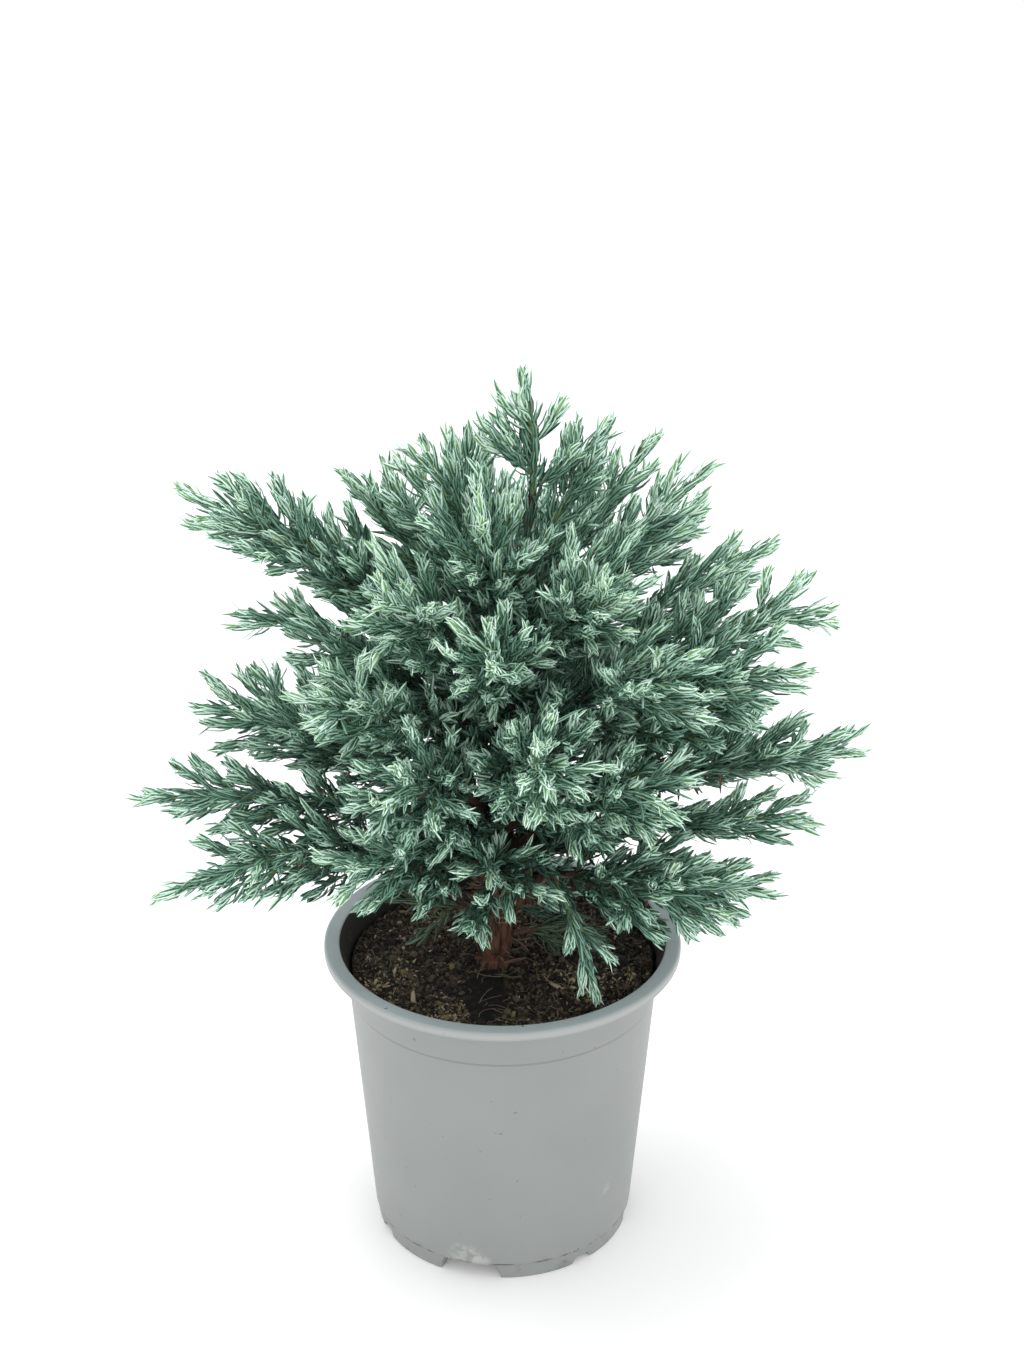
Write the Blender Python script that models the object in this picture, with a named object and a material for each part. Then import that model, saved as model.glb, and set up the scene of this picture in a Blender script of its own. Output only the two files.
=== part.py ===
"""A false cypress in a grey nursery pot: pot, soil, trunk, boughs and masses of needles.

Metres, +Z up. The origin is the middle of the pot's underside, and -Y is the front.
Each mass of foliage is a plume: a stem that carries shoots by a seeded rule, with needles
standing out of each shoot. A plume keeps to its own space between its neighbours.
"""

import math
import random

import bmesh
import bpy
import numpy as np
from mathutils import Matrix, Vector

MM = 0.001
GAP = 0.3 * MM

# Pot: a turned shell with a flat-topped lip, a stacking ledge and feet round its base.
POT_SIDES = 36
POT_HEIGHT = 117.2 * MM
POT_FOOT_RADIUS = 47.9 * MM
POT_TOP_RADIUS = 57.7 * MM
POT_WALL = 1.2 * MM
POT_BEVEL = 0.5 * MM
LIP_RADIUS = 65.0 * MM
LIP_BAND = 5.4 * MM
LIP_FACE = 3.4 * MM
LIP_BEVEL = 0.8 * MM
LEDGE_HEIGHT = 98.7 * MM
LEDGE_STEP = 0.45 * MM
COVE_FOOT = 104.0 * MM
COVE_OUT = 2.2 * MM
COVE_BEND_OUT = 0.8 * MM
COVE_BEND_RISE = 5.0 * MM
FOOT_HEIGHT = 6.6 * MM
FOOT_WIDTH = 5.0 * MM
FOOT_INSET = 0.6 * MM
EDGE_ANGLE = math.radians(35.0)
# Notches between the feet: bearing from the front in degrees, width, height.
NOTCHES = (
    (-15.0, 20.0 * MM, 6.2 * MM),
    (38.0, 5.5 * MM, 2.6 * MM),
    (88.0, 20.0 * MM, 6.2 * MM),
    (139.0, 5.5 * MM, 2.6 * MM),
    (190.0, 20.0 * MM, 6.2 * MM),
    (242.0, 5.5 * MM, 2.6 * MM),
    (294.0, 5.5 * MM, 2.6 * MM),
)
NOTCH_SPLAY = 1.5 * MM
NOTCH_DEPTH = 20.0 * MM
NOTCH_BELOW = 1.0 * MM

# Soil: it fills the pot to a little below the rim, with a flat seat for the trunk.
SOIL_TOP = 107.0 * MM
SOIL_EDGE_DROP = 1.6 * MM
SOIL_BEND_SHARE = 0.6
SOIL_BEND_RISE = 0.5 * MM
SOIL_SEAT = 11.0 * MM
SOIL_SIDES = 30

# Trunk: it leans to +X as it rises. Each station is a height above the soil and a radius.
TRUNK_FOOT_X = -3.0 * MM
TRUNK_LEAN = 15.0 * MM
TRUNK_SWAY = 1.2 * MM
TRUNK_STATIONS = (
    (0.3 * MM, 6.3 * MM),
    (2.5 * MM, 5.2 * MM),
    (8.0 * MM, 6.9 * MM),
    (17.0 * MM, 6.7 * MM),
    (30.0 * MM, 5.4 * MM),
    (60.0 * MM, 4.6 * MM),
    (100.0 * MM, 3.6 * MM),
    (152.0 * MM, 2.0 * MM),
)
TRUNK_SIDES = 9
BARK_ANGLE = math.radians(65.0)
TRUNK_TOP = SOIL_TOP + TRUNK_STATIONS[-1][0]
CROWN_TOP = 331.0 * MM

# Plumes: bearing in degrees from +X towards +Y, reach from the pot's axis, height of the
# tip, height where the limb leaves the trunk, lift of the limb's middle above a straight
# line, the share of the limb that is bare bough, and its fullness: how long its shoots
# are beside the longest. A bare share of 0 starts at the trunk. The leader's middle is
# bowed to +X by its lift.
PLUMES = {
    "leader": (0, 6, 331, 259, 6, 0, 1),
    "top_left": (152, 31, 303, 236, 4, 0, 0.9),
    "top_right": (15, 37, 311, 242, 3, 0, 0.8),
    "top_right_back": (20, 56, 302, 229, 5, 0, 0.9),
    "top_front": (262, 50, 297, 231, 6, 0, 1),
    "top_back": (112, 44, 294, 226, 5, 0, 0.8),
    "upper_left": (176, 109, 287, 214, 7, 0.30, 0.85),
    "upper_left_back": (139, 73, 276, 219, 7, 0, 0.9),
    "upper_right": (8, 72, 295, 217, 6, 0, 0.8),
    "upper_right_back": (40, 95, 257, 203, 12, 0, 0.9),
    "upper_left_front": (236, 72, 274, 209, 9, 0, 1),
    "upper_right_front": (303, 74, 277, 213, 9, 0, 1),
    "upper_back": (100, 84, 271, 208, 9, 0, 1),
    "mid_left": (185, 90, 249, 192, 10, 0, 0.8),
    "mid_right": (1, 113, 245, 188, 11, 0, 0.9),
    "mid_right_back": (26, 108, 249, 186, 13, 0, 0.85),
    "mid_right_front": (346, 106, 234, 178, 13, 0.30, 0.9),
    "mid_front": (268, 92, 266, 196, 13, 0, 1),
    "mid_left_front": (225, 88, 234, 181, 12, 0, 1),
    "mid_front_right": (309, 95, 250, 186, 13, 0.30, 1),
    "mid_back": (84, 109, 240, 184, 13, 0.30, 1),
    "mid_left_back": (132, 106, 238, 178, 12, 0, 1),
    "low_front": (277, 114, 236, 168, 14, 0.30, 1),
    "low_front_left": (248, 98, 218, 161, 13, 0.30, 1),
    "low_front_right": (301, 100, 215, 158, 13, 0.30, 1),
    "low_left_up": (169, 111, 199, 156, 10, 0.32, 0.8),
    "low_left": (184, 127, 178, 149, 10, 0.34, 0.6),
    "low_left_front": (204, 127, 163, 141, 14, 0.34, 0.6),
    "low_left_rim": (233, 90, 174, 145, 12, 0, 0.9),
    "low_near": (266, 58, 172, 137, 8, 0, 1),
    "low_hanging": (309, 52, 116, 138, 30, 0, 0.6),
    "low_right_rim": (327, 93, 152, 136, 12, 0.30, 0.75),
    "low_right": (349, 97, 144, 129, 9, 0.32, 0.65),
    "low_right_mid": (356, 110, 166, 141, 12, 0, 0.9),
    "low_right_up": (4, 128, 187, 152, 9, 0.34, 0.75),
    "low_right_back": (38, 119, 186, 146, 12, 0.32, 1),
    "low_back": (78, 116, 187, 151, 14, 0.32, 1),
    "low_left_back": (141, 118, 176, 145, 13, 0.32, 0.85),
    "shaded_left": (153, 45, 131, 119, 5, 0, 1),
    "shaded_right": (340, 36, 126, 115, 4, 0, 1),
}

# Boughs and stems.
BOUGH_RADIUS = 2.7 * MM
BOUGH_TIP_RADIUS = 1.5 * MM
BOUGH_SIDES = 6
BOUGH_STATIONS = 4
STEM_RADIUS = 1.4 * MM
STEM_TIP_RADIUS = 0.7 * MM
STEM_SIDES = 3
STEM_STATIONS = 4
STEM_SHORT_OF_TIP = 17.0 * MM

# Shoots: the rule by which a plume branches.
TURN = math.radians(137.5)
SHOOT_PITCH = 16.5 * MM
SHOOT_FIRST = 5.0 * MM
SHOOT_LAST = 9.0 * MM
PITCH_VARIES = (0.85, 1.15)
SHOOT_ANGLE = math.radians(50.0)
SHOOT_TIP_ANGLE = math.radians(26.0)
SHOOT_LONGEST = 42.0 * MM
SHOOT_SHORTEST = 15.0 * MM
SHOOT_LEAST = 8.5 * MM
SHOOT_SHORTENS = 1.5
LENGTH_VARIES = (0.85, 1.1)
SHOOT_CAP = 0.85
SHOOT_CAP_BASE = 2.0 * MM
SHOOT_RADIUS = 2.3 * MM
SHOOT_SIDES = 3
SHOOT_SPACE = 1.9 * MM
SHOOT_WHORL = 10.5 * MM
SHOOT_TWIST = math.radians(40.0)
SHOOT_BEND = 0.22
SHOOT_TRIES = (1.0, 0.8, 0.62, 0.46)
SHOOT_BASE_SWELL = 0.55
SHOOT_TAPER = 0.35
LAST_SHOOT = 36.0 * MM
LAST_SHOOT_PARTS = 4
NEEDLE_OUT = 6.6 * MM
NEEDLE_FORWARD = 6.2 * MM
NEEDLE_TIP = 0.4 * MM
NEEDLE_WAIST = 1.1 * MM
NEEDLE_TAPER = 0.2

# Core of a plume: shares of its length, each with how thick the core is there.
CORE_STATIONS = ((0.12, 0.35), (0.3, 1.0), (0.5, 0.9), (0.7, 0.35))
CORE_NEEDLE = 1.75
CORE_RADIUS = 6.0 * MM
CORE_LEAST = 1.7 * MM
CORE_CUT = 0.5 * MM
CORE_SIDES = 4

SPACE_MARGIN = 0.5 * MM
LIMB_CLEARANCE = 0.6 * MM
PATH_STEP = 3.0 * MM
ARC_STEPS = 24
SEARCH_STEPS = 24
SHARE_STEP = 0.002
LEAST_SIDE = 0.05
MERGE = 0.001 * MM
UP = Vector((0.0, 0.0, 1.0))


def clear_scene():
    """Remove every object that the new file starts with."""
    for thing in list(bpy.data.objects):
        bpy.data.objects.remove(thing, do_unlink=True)


def finish(name, color, roughness):
    """A plain surface finish."""
    material = bpy.data.materials.new(name)
    material.use_nodes = True
    shader = material.node_tree.nodes["Principled BSDF"]
    shader.inputs["Base Color"].default_value = (*color, 1.0)
    shader.inputs["Roughness"].default_value = roughness
    shader.inputs["Metallic"].default_value = 0.0
    return material


def add_object(name, bm, material=None, collection=None):
    """Turn a bmesh into an object at the origin, with its normals facing out."""
    bmesh.ops.recalc_face_normals(bm, faces=bm.faces)
    mesh = bpy.data.meshes.new(name)
    bm.to_mesh(mesh)
    bm.free()
    thing = bpy.data.objects.new(name, mesh)
    if material:
        mesh.materials.append(material)
    (collection or bpy.context.scene.collection).objects.link(thing)
    return thing


def smooth(thing, angle=EDGE_ANGLE):
    """Smooth shading with sharp edges where the surface turns by more than the angle."""
    thing.data.shade_smooth()
    thing.data.set_sharp_from_angle(angle=angle)


def turned(name, profile, sides, material):
    """Spin a closed profile of (radius, height) points round the upright axis."""
    bm = bmesh.new()
    ring = [bm.verts.new((radius, 0.0, height)) for radius, height in profile]
    edges = [bm.edges.new((a, b)) for a, b in zip(ring, ring[1:] + ring[:1])]
    bmesh.ops.spin(
        bm,
        geom=ring + edges,
        axis=UP,
        cent=(0.0, 0.0, 0.0),
        steps=sides,
        angle=math.tau,
        use_merge=True,
    )
    bmesh.ops.remove_doubles(bm, verts=bm.verts, dist=MERGE)
    bmesh.ops.dissolve_degenerate(bm, edges=bm.edges, dist=MERGE)
    return add_object(name, bm, material)


def wall_radius(height):
    """The outer radius of the pot's straight wall."""
    share = height / POT_HEIGHT
    return POT_FOOT_RADIUS + (POT_TOP_RADIUS - POT_FOOT_RADIUS) * share


def pot_profile():
    """The pot's closed profile, from the foot's inner edge up the outside and back down."""
    foot = POT_FOOT_RADIUS - FOOT_INSET
    ledge = wall_radius(LEDGE_HEIGHT)
    cove = wall_radius(COVE_FOOT) + LEDGE_STEP
    lip_foot = POT_HEIGHT - LIP_FACE
    lip_inside = LIP_RADIUS - LIP_BAND
    plate_top = FOOT_HEIGHT + POT_WALL
    outside = [
        (POT_FOOT_RADIUS - FOOT_WIDTH, 0.0),
        (foot - POT_BEVEL, 0.0),
        (foot, POT_BEVEL),
        (foot, FOOT_HEIGHT - FOOT_INSET),
        (wall_radius(FOOT_HEIGHT), FOOT_HEIGHT),
        (ledge, LEDGE_HEIGHT),
        (ledge + LEDGE_STEP, LEDGE_HEIGHT + LEDGE_STEP),
        (cove, COVE_FOOT),
        (cove + COVE_BEND_OUT, COVE_FOOT + COVE_BEND_RISE),
        (cove + COVE_OUT, lip_foot),
        (LIP_RADIUS - POT_BEVEL, lip_foot),
        (LIP_RADIUS, lip_foot + POT_BEVEL),
        (LIP_RADIUS, POT_HEIGHT - LIP_BEVEL),
        (LIP_RADIUS - LIP_BEVEL, POT_HEIGHT),
    ]
    inside = [
        (lip_inside, POT_HEIGHT),
        (lip_inside - POT_BEVEL, POT_HEIGHT - POT_BEVEL),
        (cove + COVE_OUT - POT_WALL, lip_foot - POT_BEVEL),
        (inner_radius(COVE_FOOT), COVE_FOOT),
        (inner_radius(plate_top), plate_top),
        (0.0, plate_top),
        (0.0, FOOT_HEIGHT),
        (POT_FOOT_RADIUS - FOOT_WIDTH, FOOT_HEIGHT),
    ]
    return outside + inside


def inner_radius(height):
    """The radius of the pot's inner wall below the cove."""
    return wall_radius(height) - POT_WALL


def notch_cutters():
    """One hidden object that holds a splayed block for each notch between the feet."""
    bm = bmesh.new()
    for bearing, width, height in NOTCHES:
        block = bmesh.ops.create_cube(bm, size=1.0)["verts"]
        bmesh.ops.scale(bm, vec=(width, NOTCH_DEPTH, height + NOTCH_BELOW), verts=block)
        for vert in block:
            if vert.co.z < 0.0:
                vert.co.x += math.copysign(NOTCH_SPLAY, vert.co.x)
        middle = (0.0, -POT_FOOT_RADIUS, 0.5 * (height - NOTCH_BELOW))
        bmesh.ops.translate(bm, vec=middle, verts=block)
        turn = Matrix.Rotation(math.radians(bearing), 3, "Z")
        bmesh.ops.rotate(bm, cent=(0.0, 0.0, 0.0), matrix=turn, verts=block)
    cutter = add_object("notch_cutters", bm)
    cutter.hide_render = True
    cutter.display_type = "WIRE"
    return cutter


def make_pot(material):
    """The turned pot with the notches cut between its feet."""
    pot = turned("pot", pot_profile(), POT_SIDES, material)
    cut = pot.modifiers.new("notches", "BOOLEAN")
    cut.operation = "DIFFERENCE"
    cut.object = notch_cutters()
    smooth(pot)
    return pot


def make_soil(material):
    """Soil in the pot, 0.3 mm clear of its wall, a little lower at the edge."""
    floor = FOOT_HEIGHT + POT_WALL + GAP
    edge = SOIL_TOP - SOIL_EDGE_DROP
    side = inner_radius(COVE_FOOT) - GAP
    profile = [
        (0.0, floor),
        (inner_radius(floor) - GAP, floor),
        (side, COVE_FOOT),
        (side, edge),
        (SOIL_BEND_SHARE * side, edge + SOIL_BEND_RISE),
        (SOIL_SEAT, SOIL_TOP),
        (0.0, SOIL_TOP),
    ]
    soil = turned("soil", profile, SOIL_SIDES, material)
    smooth(soil)
    return soil


def trunk_axis(height):
    """A point on the trunk's axis at a height above the floor."""
    rise = (height - SOIL_TOP) / (CROWN_TOP - SOIL_TOP)
    x = TRUNK_FOOT_X + TRUNK_LEAN * rise * rise
    y = TRUNK_SWAY * math.sin(math.tau * rise)
    return Vector((x, y, height))


def trunk_radius(height):
    """The trunk's radius at a height above the floor."""
    above = height - SOIL_TOP
    heights = [station[0] for station in TRUNK_STATIONS]
    radii = [station[1] for station in TRUNK_STATIONS]
    return float(np.interp(above, heights, radii))


def frame_on(tangent):
    """Two unit vectors square to a direction, the first as level as it can be."""
    side = tangent.cross(UP)
    if side.length < LEAST_SIDE:
        side = tangent.cross(Vector((0.0, 1.0, 0.0)))
    side.normalize()
    return side, side.cross(tangent).normalized()


def circle_points(centre, side, up, radius, sides, turn=0.0):
    """Corners evenly round a centre, in the plane of two unit vectors."""
    angles = [turn + math.tau * i / sides for i in range(sides)]
    return [centre + radius * (math.cos(a) * side + math.sin(a) * up) for a in angles]


def sweep(bm, stations, sides, twist=0.0, tip=None):
    """Join polygons round stations of (point, tangent, radius), and end in a point if given.

    It returns the side faces, one list for each stretch between two stations.
    """
    rings = []
    side, _ = frame_on(stations[0][1])
    for number, (point, tangent, radius) in enumerate(stations):
        side = (side - side.dot(tangent) * tangent).normalized()
        up = side.cross(tangent)
        points = circle_points(point, side, up, radius, sides, turn=number * twist)
        rings.append([bm.verts.new(point) for point in points])
    bm.faces.new(rings[0])
    stretches = []
    for low, high in zip(rings, rings[1:]):
        corners = [(low[i - 1], low[i], high[i], high[i - 1]) for i in range(sides)]
        stretches.append([bm.faces.new(corner) for corner in corners])
    cap = bm.faces.new(rings[-1])
    if tip is not None:
        bmesh.ops.poke(bm, faces=[cap])["verts"][0].co = tip
    return stretches


def make_trunk(material):
    """The trunk, from its flared foot to the thin top inside the crown."""
    bm = bmesh.new()
    stations = []
    for above, radius in TRUNK_STATIONS:
        stations.append((trunk_axis(SOIL_TOP + above), UP, radius))
    sweep(bm, stations, TRUNK_SIDES)
    trunk = add_object("trunk", bm, material)
    smooth(trunk, BARK_ANGLE)
    return trunk


def trunk_clearance(point):
    """How far a point lies outside the trunk."""
    height = min(max(point.z, SOIL_TOP), TRUNK_TOP)
    across = (point - trunk_axis(height)).xy.length
    return max(across - trunk_radius(height), point.z - TRUNK_TOP)


class Plume:
    """One limb: a curve from the trunk to the plume's tip, bare bough first, then foliage."""

    def __init__(self, name, figures):
        bearing, reach, tip, foot, lift, bare, fullness = figures
        self.name = name
        self.fullness = fullness
        self.start = trunk_axis(foot * MM)
        across = math.radians(bearing)
        flat = reach * MM * Vector((math.cos(across), math.sin(across), 0.0))
        self.end = flat + Vector((0.0, 0.0, tip * MM))
        bow = Vector((1.0, 0.0, 0.0)) if name == "leader" else UP
        self.control = 0.5 * (self.start + self.end) + 2.0 * lift * MM * bow
        self.leave = self.first_clear_share(bare)
        self.bare_end = bare or self.leave
        self.length = self.arc(self.bare_end, 1.0)
        self.bough_path = self.samples(self.leave, self.bare_end) if bare else []
        self.leaf_path = self.samples(self.bare_end, 1.0)

    def at(self, share):
        """The point at a share of the whole limb."""
        rest = 1.0 - share
        pull = 2.0 * rest * share
        return rest * rest * self.start + pull * self.control + share * share * self.end

    def tangent(self, share):
        """The direction in which the limb runs at a share of it."""
        rest = 1.0 - share
        slope = rest * (self.control - self.start) + share * (self.end - self.control)
        return slope.normalized()

    def arc(self, low, high):
        """The length of the limb between two shares."""
        step = (high - low) / ARC_STEPS
        points = [self.at(low + i * step) for i in range(ARC_STEPS + 1)]
        return sum((b - a).length for a, b in zip(points, points[1:]))

    def share_at(self, along):
        """The share of the curve at a distance along the foliage."""
        low, high = self.bare_end, 1.0
        for _ in range(SEARCH_STEPS):
            middle = 0.5 * (low + high)
            if self.arc(self.bare_end, middle) < along:
                low = middle
            else:
                high = middle
        return 0.5 * (low + high)

    def samples(self, low, high):
        """Points along the limb between two shares."""
        count = max(2, round(self.arc(low, high) / PATH_STEP))
        return [self.at(low + (high - low) * i / count) for i in range(count + 1)]

    def first_clear_share(self, bare):
        """The share at which the limb's end face is just clear of the trunk."""
        radius, sides = (BOUGH_RADIUS, BOUGH_SIDES) if bare else (STEM_RADIUS, STEM_SIDES)
        share = 0.0
        while True:
            centre = self.at(share)
            face = circle_points(centre, *frame_on(self.tangent(share)), radius, sides)
            if min(trunk_clearance(point) for point in face + [centre]) >= GAP:
                return share
            share += SHARE_STEP


def distance_to(point, path):
    """The distance from a point to a path of short straight stretches."""
    ends = np.array(path)
    start = ends[:-1]
    along = ends[1:] - start
    offset = np.array(point) - start
    share = np.clip((offset * along).sum(1) / (along * along).sum(1), 0.0, 1.0)
    return float(np.sqrt(((offset - share[:, None] * along) ** 2).sum(1)).min())


def clear_of_pot(point, radius):
    """True above the rim, above the soil inside it, or well outside the lip."""
    across = point.xy.length
    inside = across + radius < inner_radius(LEDGE_HEIGHT) and point.z - radius > SOIL_TOP + GAP
    above = point.z - radius > POT_HEIGHT + GAP
    outside = across - radius > LIP_RADIUS + GAP
    return inside or above or outside


def keeps_space(plume, plumes, point, radius):
    """True where a ball round the point is in the plume's own space and clear of the limbs."""
    if not clear_of_pot(point, radius):
        return False
    if trunk_clearance(point) < radius + LIMB_CLEARANCE:
        return False
    own = distance_to(point, plume.leaf_path)
    for other in plumes:
        if other.bough_path:
            if distance_to(point, other.bough_path) < BOUGH_RADIUS + radius + LIMB_CLEARANCE:
                return False
        if other is not plume:
            if distance_to(point, other.leaf_path) - own < 2.0 * radius + SPACE_MARGIN:
                return False
    return True


def limb_stations(plume, low, high, first_radius, last_radius, count):
    """Stations along a limb between two shares, thinner towards its tip."""
    stations = []
    for i in range(count):
        share = low + (high - low) * i / (count - 1)
        radius = first_radius + (last_radius - first_radius) * i / (count - 1)
        stations.append((plume.at(share), plume.tangent(share), radius))
    return stations


def make_bough(plume, material):
    """The bare part of a limb, from just off the trunk to where the foliage starts."""
    bm = bmesh.new()
    radii = (BOUGH_RADIUS, BOUGH_TIP_RADIUS)
    stations = limb_stations(plume, plume.leave, plume.bare_end, *radii, BOUGH_STATIONS)
    sweep(bm, stations, BOUGH_SIDES)
    bough = add_object("bough_" + plume.name, bm, material)
    smooth(bough, BARK_ANGLE)
    return bough


def stem_piece(plume):
    """The stem, which starts 0.3 mm off its bough or the trunk and ends in the last shoot."""
    bm = bmesh.new()
    low = plume.share_at(GAP) if plume.bough_path else plume.leave
    high = plume.share_at(plume.length - STEM_SHORT_OF_TIP)
    radii = (STEM_RADIUS, STEM_TIP_RADIUS)
    sweep(bm, limb_stations(plume, low, high, *radii, STEM_STATIONS), STEM_SIDES)
    return bm


def draw_needles(bm, faces, middle, tangent, size, plume, plumes):
    """Draw each face out into a needle that leans forward, where there is space for it."""
    for face in faces:
        outward = face.calc_center_median() - middle
        outward = (outward - outward.dot(tangent) * tangent).normalized()
        needle = middle + size * (NEEDLE_OUT * outward + NEEDLE_FORWARD * tangent)
        halfway = 0.5 * (middle + needle)
        roomy = keeps_space(plume, plumes, needle, NEEDLE_TIP)
        if roomy and keeps_space(plume, plumes, halfway, NEEDLE_WAIST):
            bmesh.ops.poke(bm, faces=[face])["verts"][0].co = needle


def core_piece(plume, plumes):
    """A slim core with long needles where the plume is densest, inside its own space."""
    stations = []
    for share, thickness in CORE_STATIONS:
        place = plume.share_at(share * plume.length)
        point = plume.at(place)
        radius = thickness * CORE_RADIUS
        while radius > CORE_LEAST and not keeps_space(plume, plumes, point, radius):
            radius -= CORE_CUT
        stations.append((point, plume.tangent(place), max(radius, CORE_LEAST)))
    bm = bmesh.new()
    stretches = sweep(bm, stations, CORE_SIDES, twist=SHOOT_TWIST)
    for (low, tangent, _), (high, _, _), faces in zip(stations, stations[1:], stretches):
        draw_needles(bm, faces, 0.5 * (low + high), tangent, CORE_NEEDLE, plume, plumes)
    return bm


def shoot_points(base, direction, forward, length):
    """Points along a shoot that bends a little towards the plume's tip."""
    count = max(2, round(length / SHOOT_WHORL))
    points = []
    for i in range(count + 1):
        along = length * i / count
        points.append(base + along * direction + SHOOT_BEND * along * along / length * forward)
    return points


def shoot_piece(points, plume, plumes):
    """A slim spindle whose faces are drawn out into needles, where there is space for them."""
    bm = bmesh.new()
    stations = []
    last = len(points) - 1
    for i, point in enumerate(points[:-1]):
        tangent = (points[i + 1] - points[max(i - 1, 0)]).normalized()
        swell = SHOOT_BASE_SWELL if i == 0 else 1.0 - SHOOT_TAPER * i / last
        stations.append((point, tangent, swell * SHOOT_RADIUS))
    stretches = sweep(bm, stations, SHOOT_SIDES, twist=SHOOT_TWIST, tip=points[-1])
    for i, faces in enumerate(stretches):
        tangent = (points[i + 1] - points[i]).normalized()
        middle = 0.5 * (points[i] + points[i + 1])
        size = 1.0 - NEEDLE_TAPER * i / last
        draw_needles(bm, faces, middle, tangent, size, plume, plumes)
    return bm


def side_shoots(plume, plumes):
    """Shoots turn round the stem by the golden angle, and shorten and close up outwards."""
    rule = random.Random(plume.name)
    turn = rule.uniform(0.0, math.tau)
    along = SHOOT_FIRST
    pieces = []
    while along < plume.length - SHOOT_LAST:
        share = plume.share_at(along)
        base = plume.at(share)
        forward = plume.tangent(share)
        side, up = frame_on(forward)
        outward = math.cos(turn) * side + math.sin(turn) * up
        outer = along / plume.length
        angle = SHOOT_ANGLE + (SHOOT_TIP_ANGLE - SHOOT_ANGLE) * outer
        direction = math.cos(angle) * forward + math.sin(angle) * outward
        full = SHOOT_LONGEST + (SHOOT_SHORTEST - SHOOT_LONGEST) * outer ** SHOOT_SHORTENS
        full *= plume.fullness * rule.uniform(*LENGTH_VARIES)
        full = min(full, SHOOT_CAP * (plume.length - along) + SHOOT_CAP_BASE)
        for cut in SHOOT_TRIES:
            if cut * full < SHOOT_LEAST:
                break
            points = shoot_points(base, direction, forward, cut * full)
            tested = points[1:]
            if all(keeps_space(plume, plumes, point, SHOOT_SPACE) for point in tested):
                pieces.append(shoot_piece(points, plume, plumes))
                break
        turn += TURN
        along += SHOOT_PITCH * rule.uniform(*PITCH_VARIES)
    return pieces


def last_shoot(plume, plumes):
    """The shoot that ends the plume, along the stem's own curve."""
    points = []
    for part in range(LAST_SHOOT_PARTS + 1):
        short = LAST_SHOOT * (1.0 - part / LAST_SHOOT_PARTS)
        points.append(plume.at(plume.share_at(plume.length - short)))
    points[-1] = plume.end
    return shoot_piece(points, plume, plumes)


def keep_largest_shell(bm):
    """Drop loose scraps and the inner walls of sealed hollows."""
    bm.verts.ensure_lookup_table()
    unseen = set(bm.verts)
    shells = []
    while unseen:
        shell = set()
        waiting = [unseen.pop()]
        while waiting:
            vert = waiting.pop()
            shell.add(vert)
            near = [edge.other_vert(vert) for edge in vert.link_edges]
            waiting.extend(other for other in near if other in unseen)
            unseen.difference_update(near)
        shells.append(shell)
    largest = max(shells, key=len)
    loose = [vert for shell in shells if shell is not largest for vert in shell]
    bmesh.ops.delete(bm, geom=loose, context="VERTS")


def fuse(name, pieces, material):
    """Join closed pieces into one body with a single union on a collection."""
    for piece in pieces:
        bmesh.ops.triangulate(piece, faces=piece.faces)
    holder = bpy.data.collections.new(name + "_pieces")
    bpy.context.scene.collection.children.link(holder)
    body = add_object(name + "_union", pieces[0])
    others = []
    for number, piece in enumerate(pieces[1:]):
        others.append(add_object(f"{name}_{number}", piece, collection=holder))
    union = body.modifiers.new("union", "BOOLEAN")
    union.operation = "UNION"
    union.operand_type = "COLLECTION"
    union.collection = holder
    union.solver = "MANIFOLD"
    graph = bpy.context.evaluated_depsgraph_get()
    bm = bmesh.new()
    bm.from_object(body, graph)
    for thing in [body] + others:
        bpy.data.objects.remove(thing, do_unlink=True)
    bpy.data.collections.remove(holder)
    bmesh.ops.remove_doubles(bm, verts=bm.verts, dist=MERGE)
    keep_largest_shell(bm)
    return add_object(name, bm, material)


def make_foliage(plume, plumes, material):
    """One mass of foliage: core, stem, last shoot and side shoots as one body."""
    pieces = [core_piece(plume, plumes), stem_piece(plume), last_shoot(plume, plumes)]
    pieces += side_shoots(plume, plumes)
    return fuse("foliage_" + plume.name, pieces, material)


def main():
    """Build every piece of the plant and its pot."""
    clear_scene()
    plastic = finish("pot plastic", (0.36, 0.385, 0.375), 0.42)
    peat = finish("moist peat", (0.030, 0.019, 0.012), 0.95)
    bark = finish("red brown bark", (0.150, 0.060, 0.038), 0.85)
    needles = finish("frosted needles", (0.20, 0.34, 0.27), 0.6)
    make_pot(plastic)
    make_soil(peat)
    make_trunk(bark)
    plumes = [Plume(*row) for row in PLUMES.items()]
    for plume in plumes:
        if plume.bough_path:
            make_bough(plume, bark)
        make_foliage(plume, plumes, needles)


main()
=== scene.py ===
"""A false cypress in a grey nursery pot, dressed over its solids.

Metres, +Z up, and -Y is the front. The shoots grow by the same seeded rule as the masses of
foliage that they replace, and are carried on to finer twigs that bear every needle.
"""

import dataclasses
import functools
import math
import random

import bmesh
import bpy
import numpy as np
from bpy.props import FloatProperty, FloatVectorProperty, IntProperty, PointerProperty
from mathutils import Matrix, Vector, noise


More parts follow.
